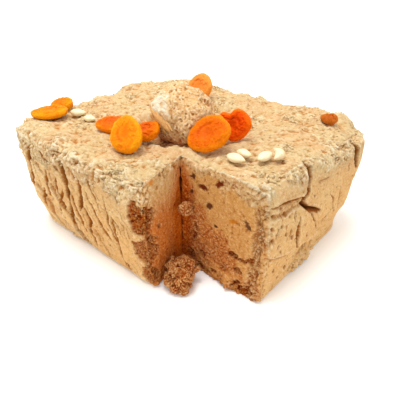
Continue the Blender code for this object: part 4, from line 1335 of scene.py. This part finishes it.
def crumbs_on(mesh, finish):
    """Crumbs and flakes on the slab: on its rim, its top, its torn places and low on its sides."""
    points, normals = read_points(mesh), read_normals(mesh)
    _, y, z = points.T
    torn, rim, cut = (read_attribute(mesh, name) for name in ("torn", "rim", "cut"))
    clumped = smoothstep(0.0, 0.5, fractal(points, 0.022, 3, 90.0))
    clear = 1 - seat_share(points)
    upper = smoothstep(0.5, 0.9, normals[:, 2]) * clear * (z > 0.085)
    side = np.exp(-(((y - 0.006) / 0.009) ** 2 + ((z - 0.010) / 0.007) ** 2)) * (normals[:, 0] > 0.7)
    foot = cut * np.exp(-(((z - 0.002) / 0.004) ** 2)) * (normals[:, 2] < 0.5)
    pale = {"top": 1.0, "pale": 0.8, "rough": 0.5}
    brown = {"torn": 0.55, "cut": 1.0, "rough": 0.8}
    tan = {"rough": 0.6, "pale": 0.3}
    # (piece, where, how many, size, flatness, slot, looks)
    kinds = [
        ("rim_crumbs", rim * (0.1 + clumped), 1100, 0.0014, 0.8, "halva", pale),
        ("rim_flakes", rim * clumped, 260, 0.0027, 0.35, "halva", pale),
        ("top_crumbs", upper * clumped**2, 420, 0.0012, 0.8, "halva", pale),
        ("torn_crumbs", torn**2, 330, 0.0014, 0.8, "halva_crumb", brown),
        ("side_crumbs", side, 80, 0.0038, 0.8, "halva", tan),
        ("foot_crumbs", foot, 120, 0.0024, 0.8, "halva_crumb", brown),
    ]
    for seed, kind in enumerate(kinds, CRUMB_SEED):
        scattered(mesh, finish, seed, *kind)


# ---------------------------------------------------------------- light, camera and floor

CAMERA_PLACE = (0.2264, -0.2535, 0.2407)
CAMERA_PITCH = 32.8
CAMERA_TURN = 40.2
CAMERA_LENS = 37.9
WORLD_COLOUR = (1.0, 0.98, 0.94, 1)
WORLD_STRENGTH = 1.12
KEY_PLACE = (-0.10, -0.12, 1.10)
KEY_POWER = 9.0
KEY_SIZE = 0.60
KEY_AIM = (0, 0, 0.05)
FLOOR_WHITE = 0.97
FLOOR_HALF = 4.0
FLOOR_HEIGHT = -0.0003


def camera():
    made = new_object("camera", bpy.data.cameras.new("camera"))
    pitch, turn = math.radians(CAMERA_PITCH), math.radians(CAMERA_TURN)
    forward = Vector((
        -math.sin(turn) * math.cos(pitch), math.cos(turn) * math.cos(pitch), -math.sin(pitch)
    ))
    made.location = CAMERA_PLACE
    made.rotation_mode = "QUATERNION"
    made.rotation_quaternion = forward.to_track_quat("-Z", "Y")
    made.data.lens = CAMERA_LENS
    made.data.clip_start = 0.01
    bpy.context.scene.camera = made


def lights():
    world = bpy.data.worlds.new("studio")
    world.use_nodes = True
    back = world.node_tree.nodes["Background"]
    back.inputs["Color"].default_value = WORLD_COLOUR
    back.inputs["Strength"].default_value = WORLD_STRENGTH
    bpy.context.scene.world = world
    key = new_object("key", bpy.data.lights.new("key", "AREA"))
    key.data.shape = "DISK"
    key.data.size = KEY_SIZE
    key.data.energy = KEY_POWER
    key.location = KEY_PLACE
    key.rotation_mode = "QUATERNION"
    key.rotation_quaternion = (Vector(KEY_AIM) - Vector(KEY_PLACE)).to_track_quat("-Z", "Y")
    bpy.context.scene.view_settings.view_transform = "Standard"


def floor():
    mesh = bpy.data.meshes.new("floor")
    plan = ((-1, -1), (1, -1), (1, 1), (-1, 1))
    corners = [(x * FLOOR_HALF, y * FLOOR_HALF, FLOOR_HEIGHT) for x, y in plan]
    mesh.from_pydata(corners, [], [(0, 1, 2, 3)])
    piece = new_object("floor", mesh)
    t = Tree("floor")
    white = (FLOOR_WHITE, FLOOR_WHITE, FLOOR_WHITE)
    t.fill(t.shader, {"Base Color": white, "Roughness": 0.9, "Specular IOR Level": 0.0})
    mesh.materials.append(t.material)


# ---------------------------------------------------------------- the object

def main():
    camera()
    lights()
    floor()
    halva = halva_material("halva", CUT_SPECKS, STAINS)
    block = new_piece("halva_slab", block_mesh(), halva)
    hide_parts("halva_block")
    crumbs_on(block.data, halva)
    lump_halva = halva_material("lump_halva")
    looks = {"top": 0.35, "pale": 0.30, "rough": 0.50}
    lump = lump_mesh(
        "halva_lump", LUMP_VOXEL, grain_size=0.0036, relief=0.0009, clumpy=0.6, looks=looks, dusty=True,
    )
    top_lump = new_piece("broken_lump", lump, lump_halva)
    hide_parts("halva_lump")
    lump_flakes(lump, lump_halva, {"cut": 0.35, "rough": 0.4})
    for node, grain_size, relief, torn in CRUMBLY_LUMPS:
        looks = {"torn": torn, "cut": 1.0, "rough": 1.0}
        lump = lump_mesh(node, SMALL_VOXEL, grain_size, relief, clumpy=1.4, looks=looks)
        piece = new_piece("crumbly_" + node, lump, lump_halva)
        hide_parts(node)

    finishes = {colour: apricot_material(*looks) for colour, looks in APRICOT_FINISHES.items()}
    for name, (half_sizes, turn, cleft) in APRICOTS.items():
        colour = APRICOT_COLOURS.get(name, "orange")
        apricot(name, half_sizes, turn, cleft, finishes[colour])
    nut = peanut_material("peanut")
    for name, (half_sizes, heading, bend) in PEANUTS.items():
        peanut(name, half_sizes, heading, bend, nut)


main()
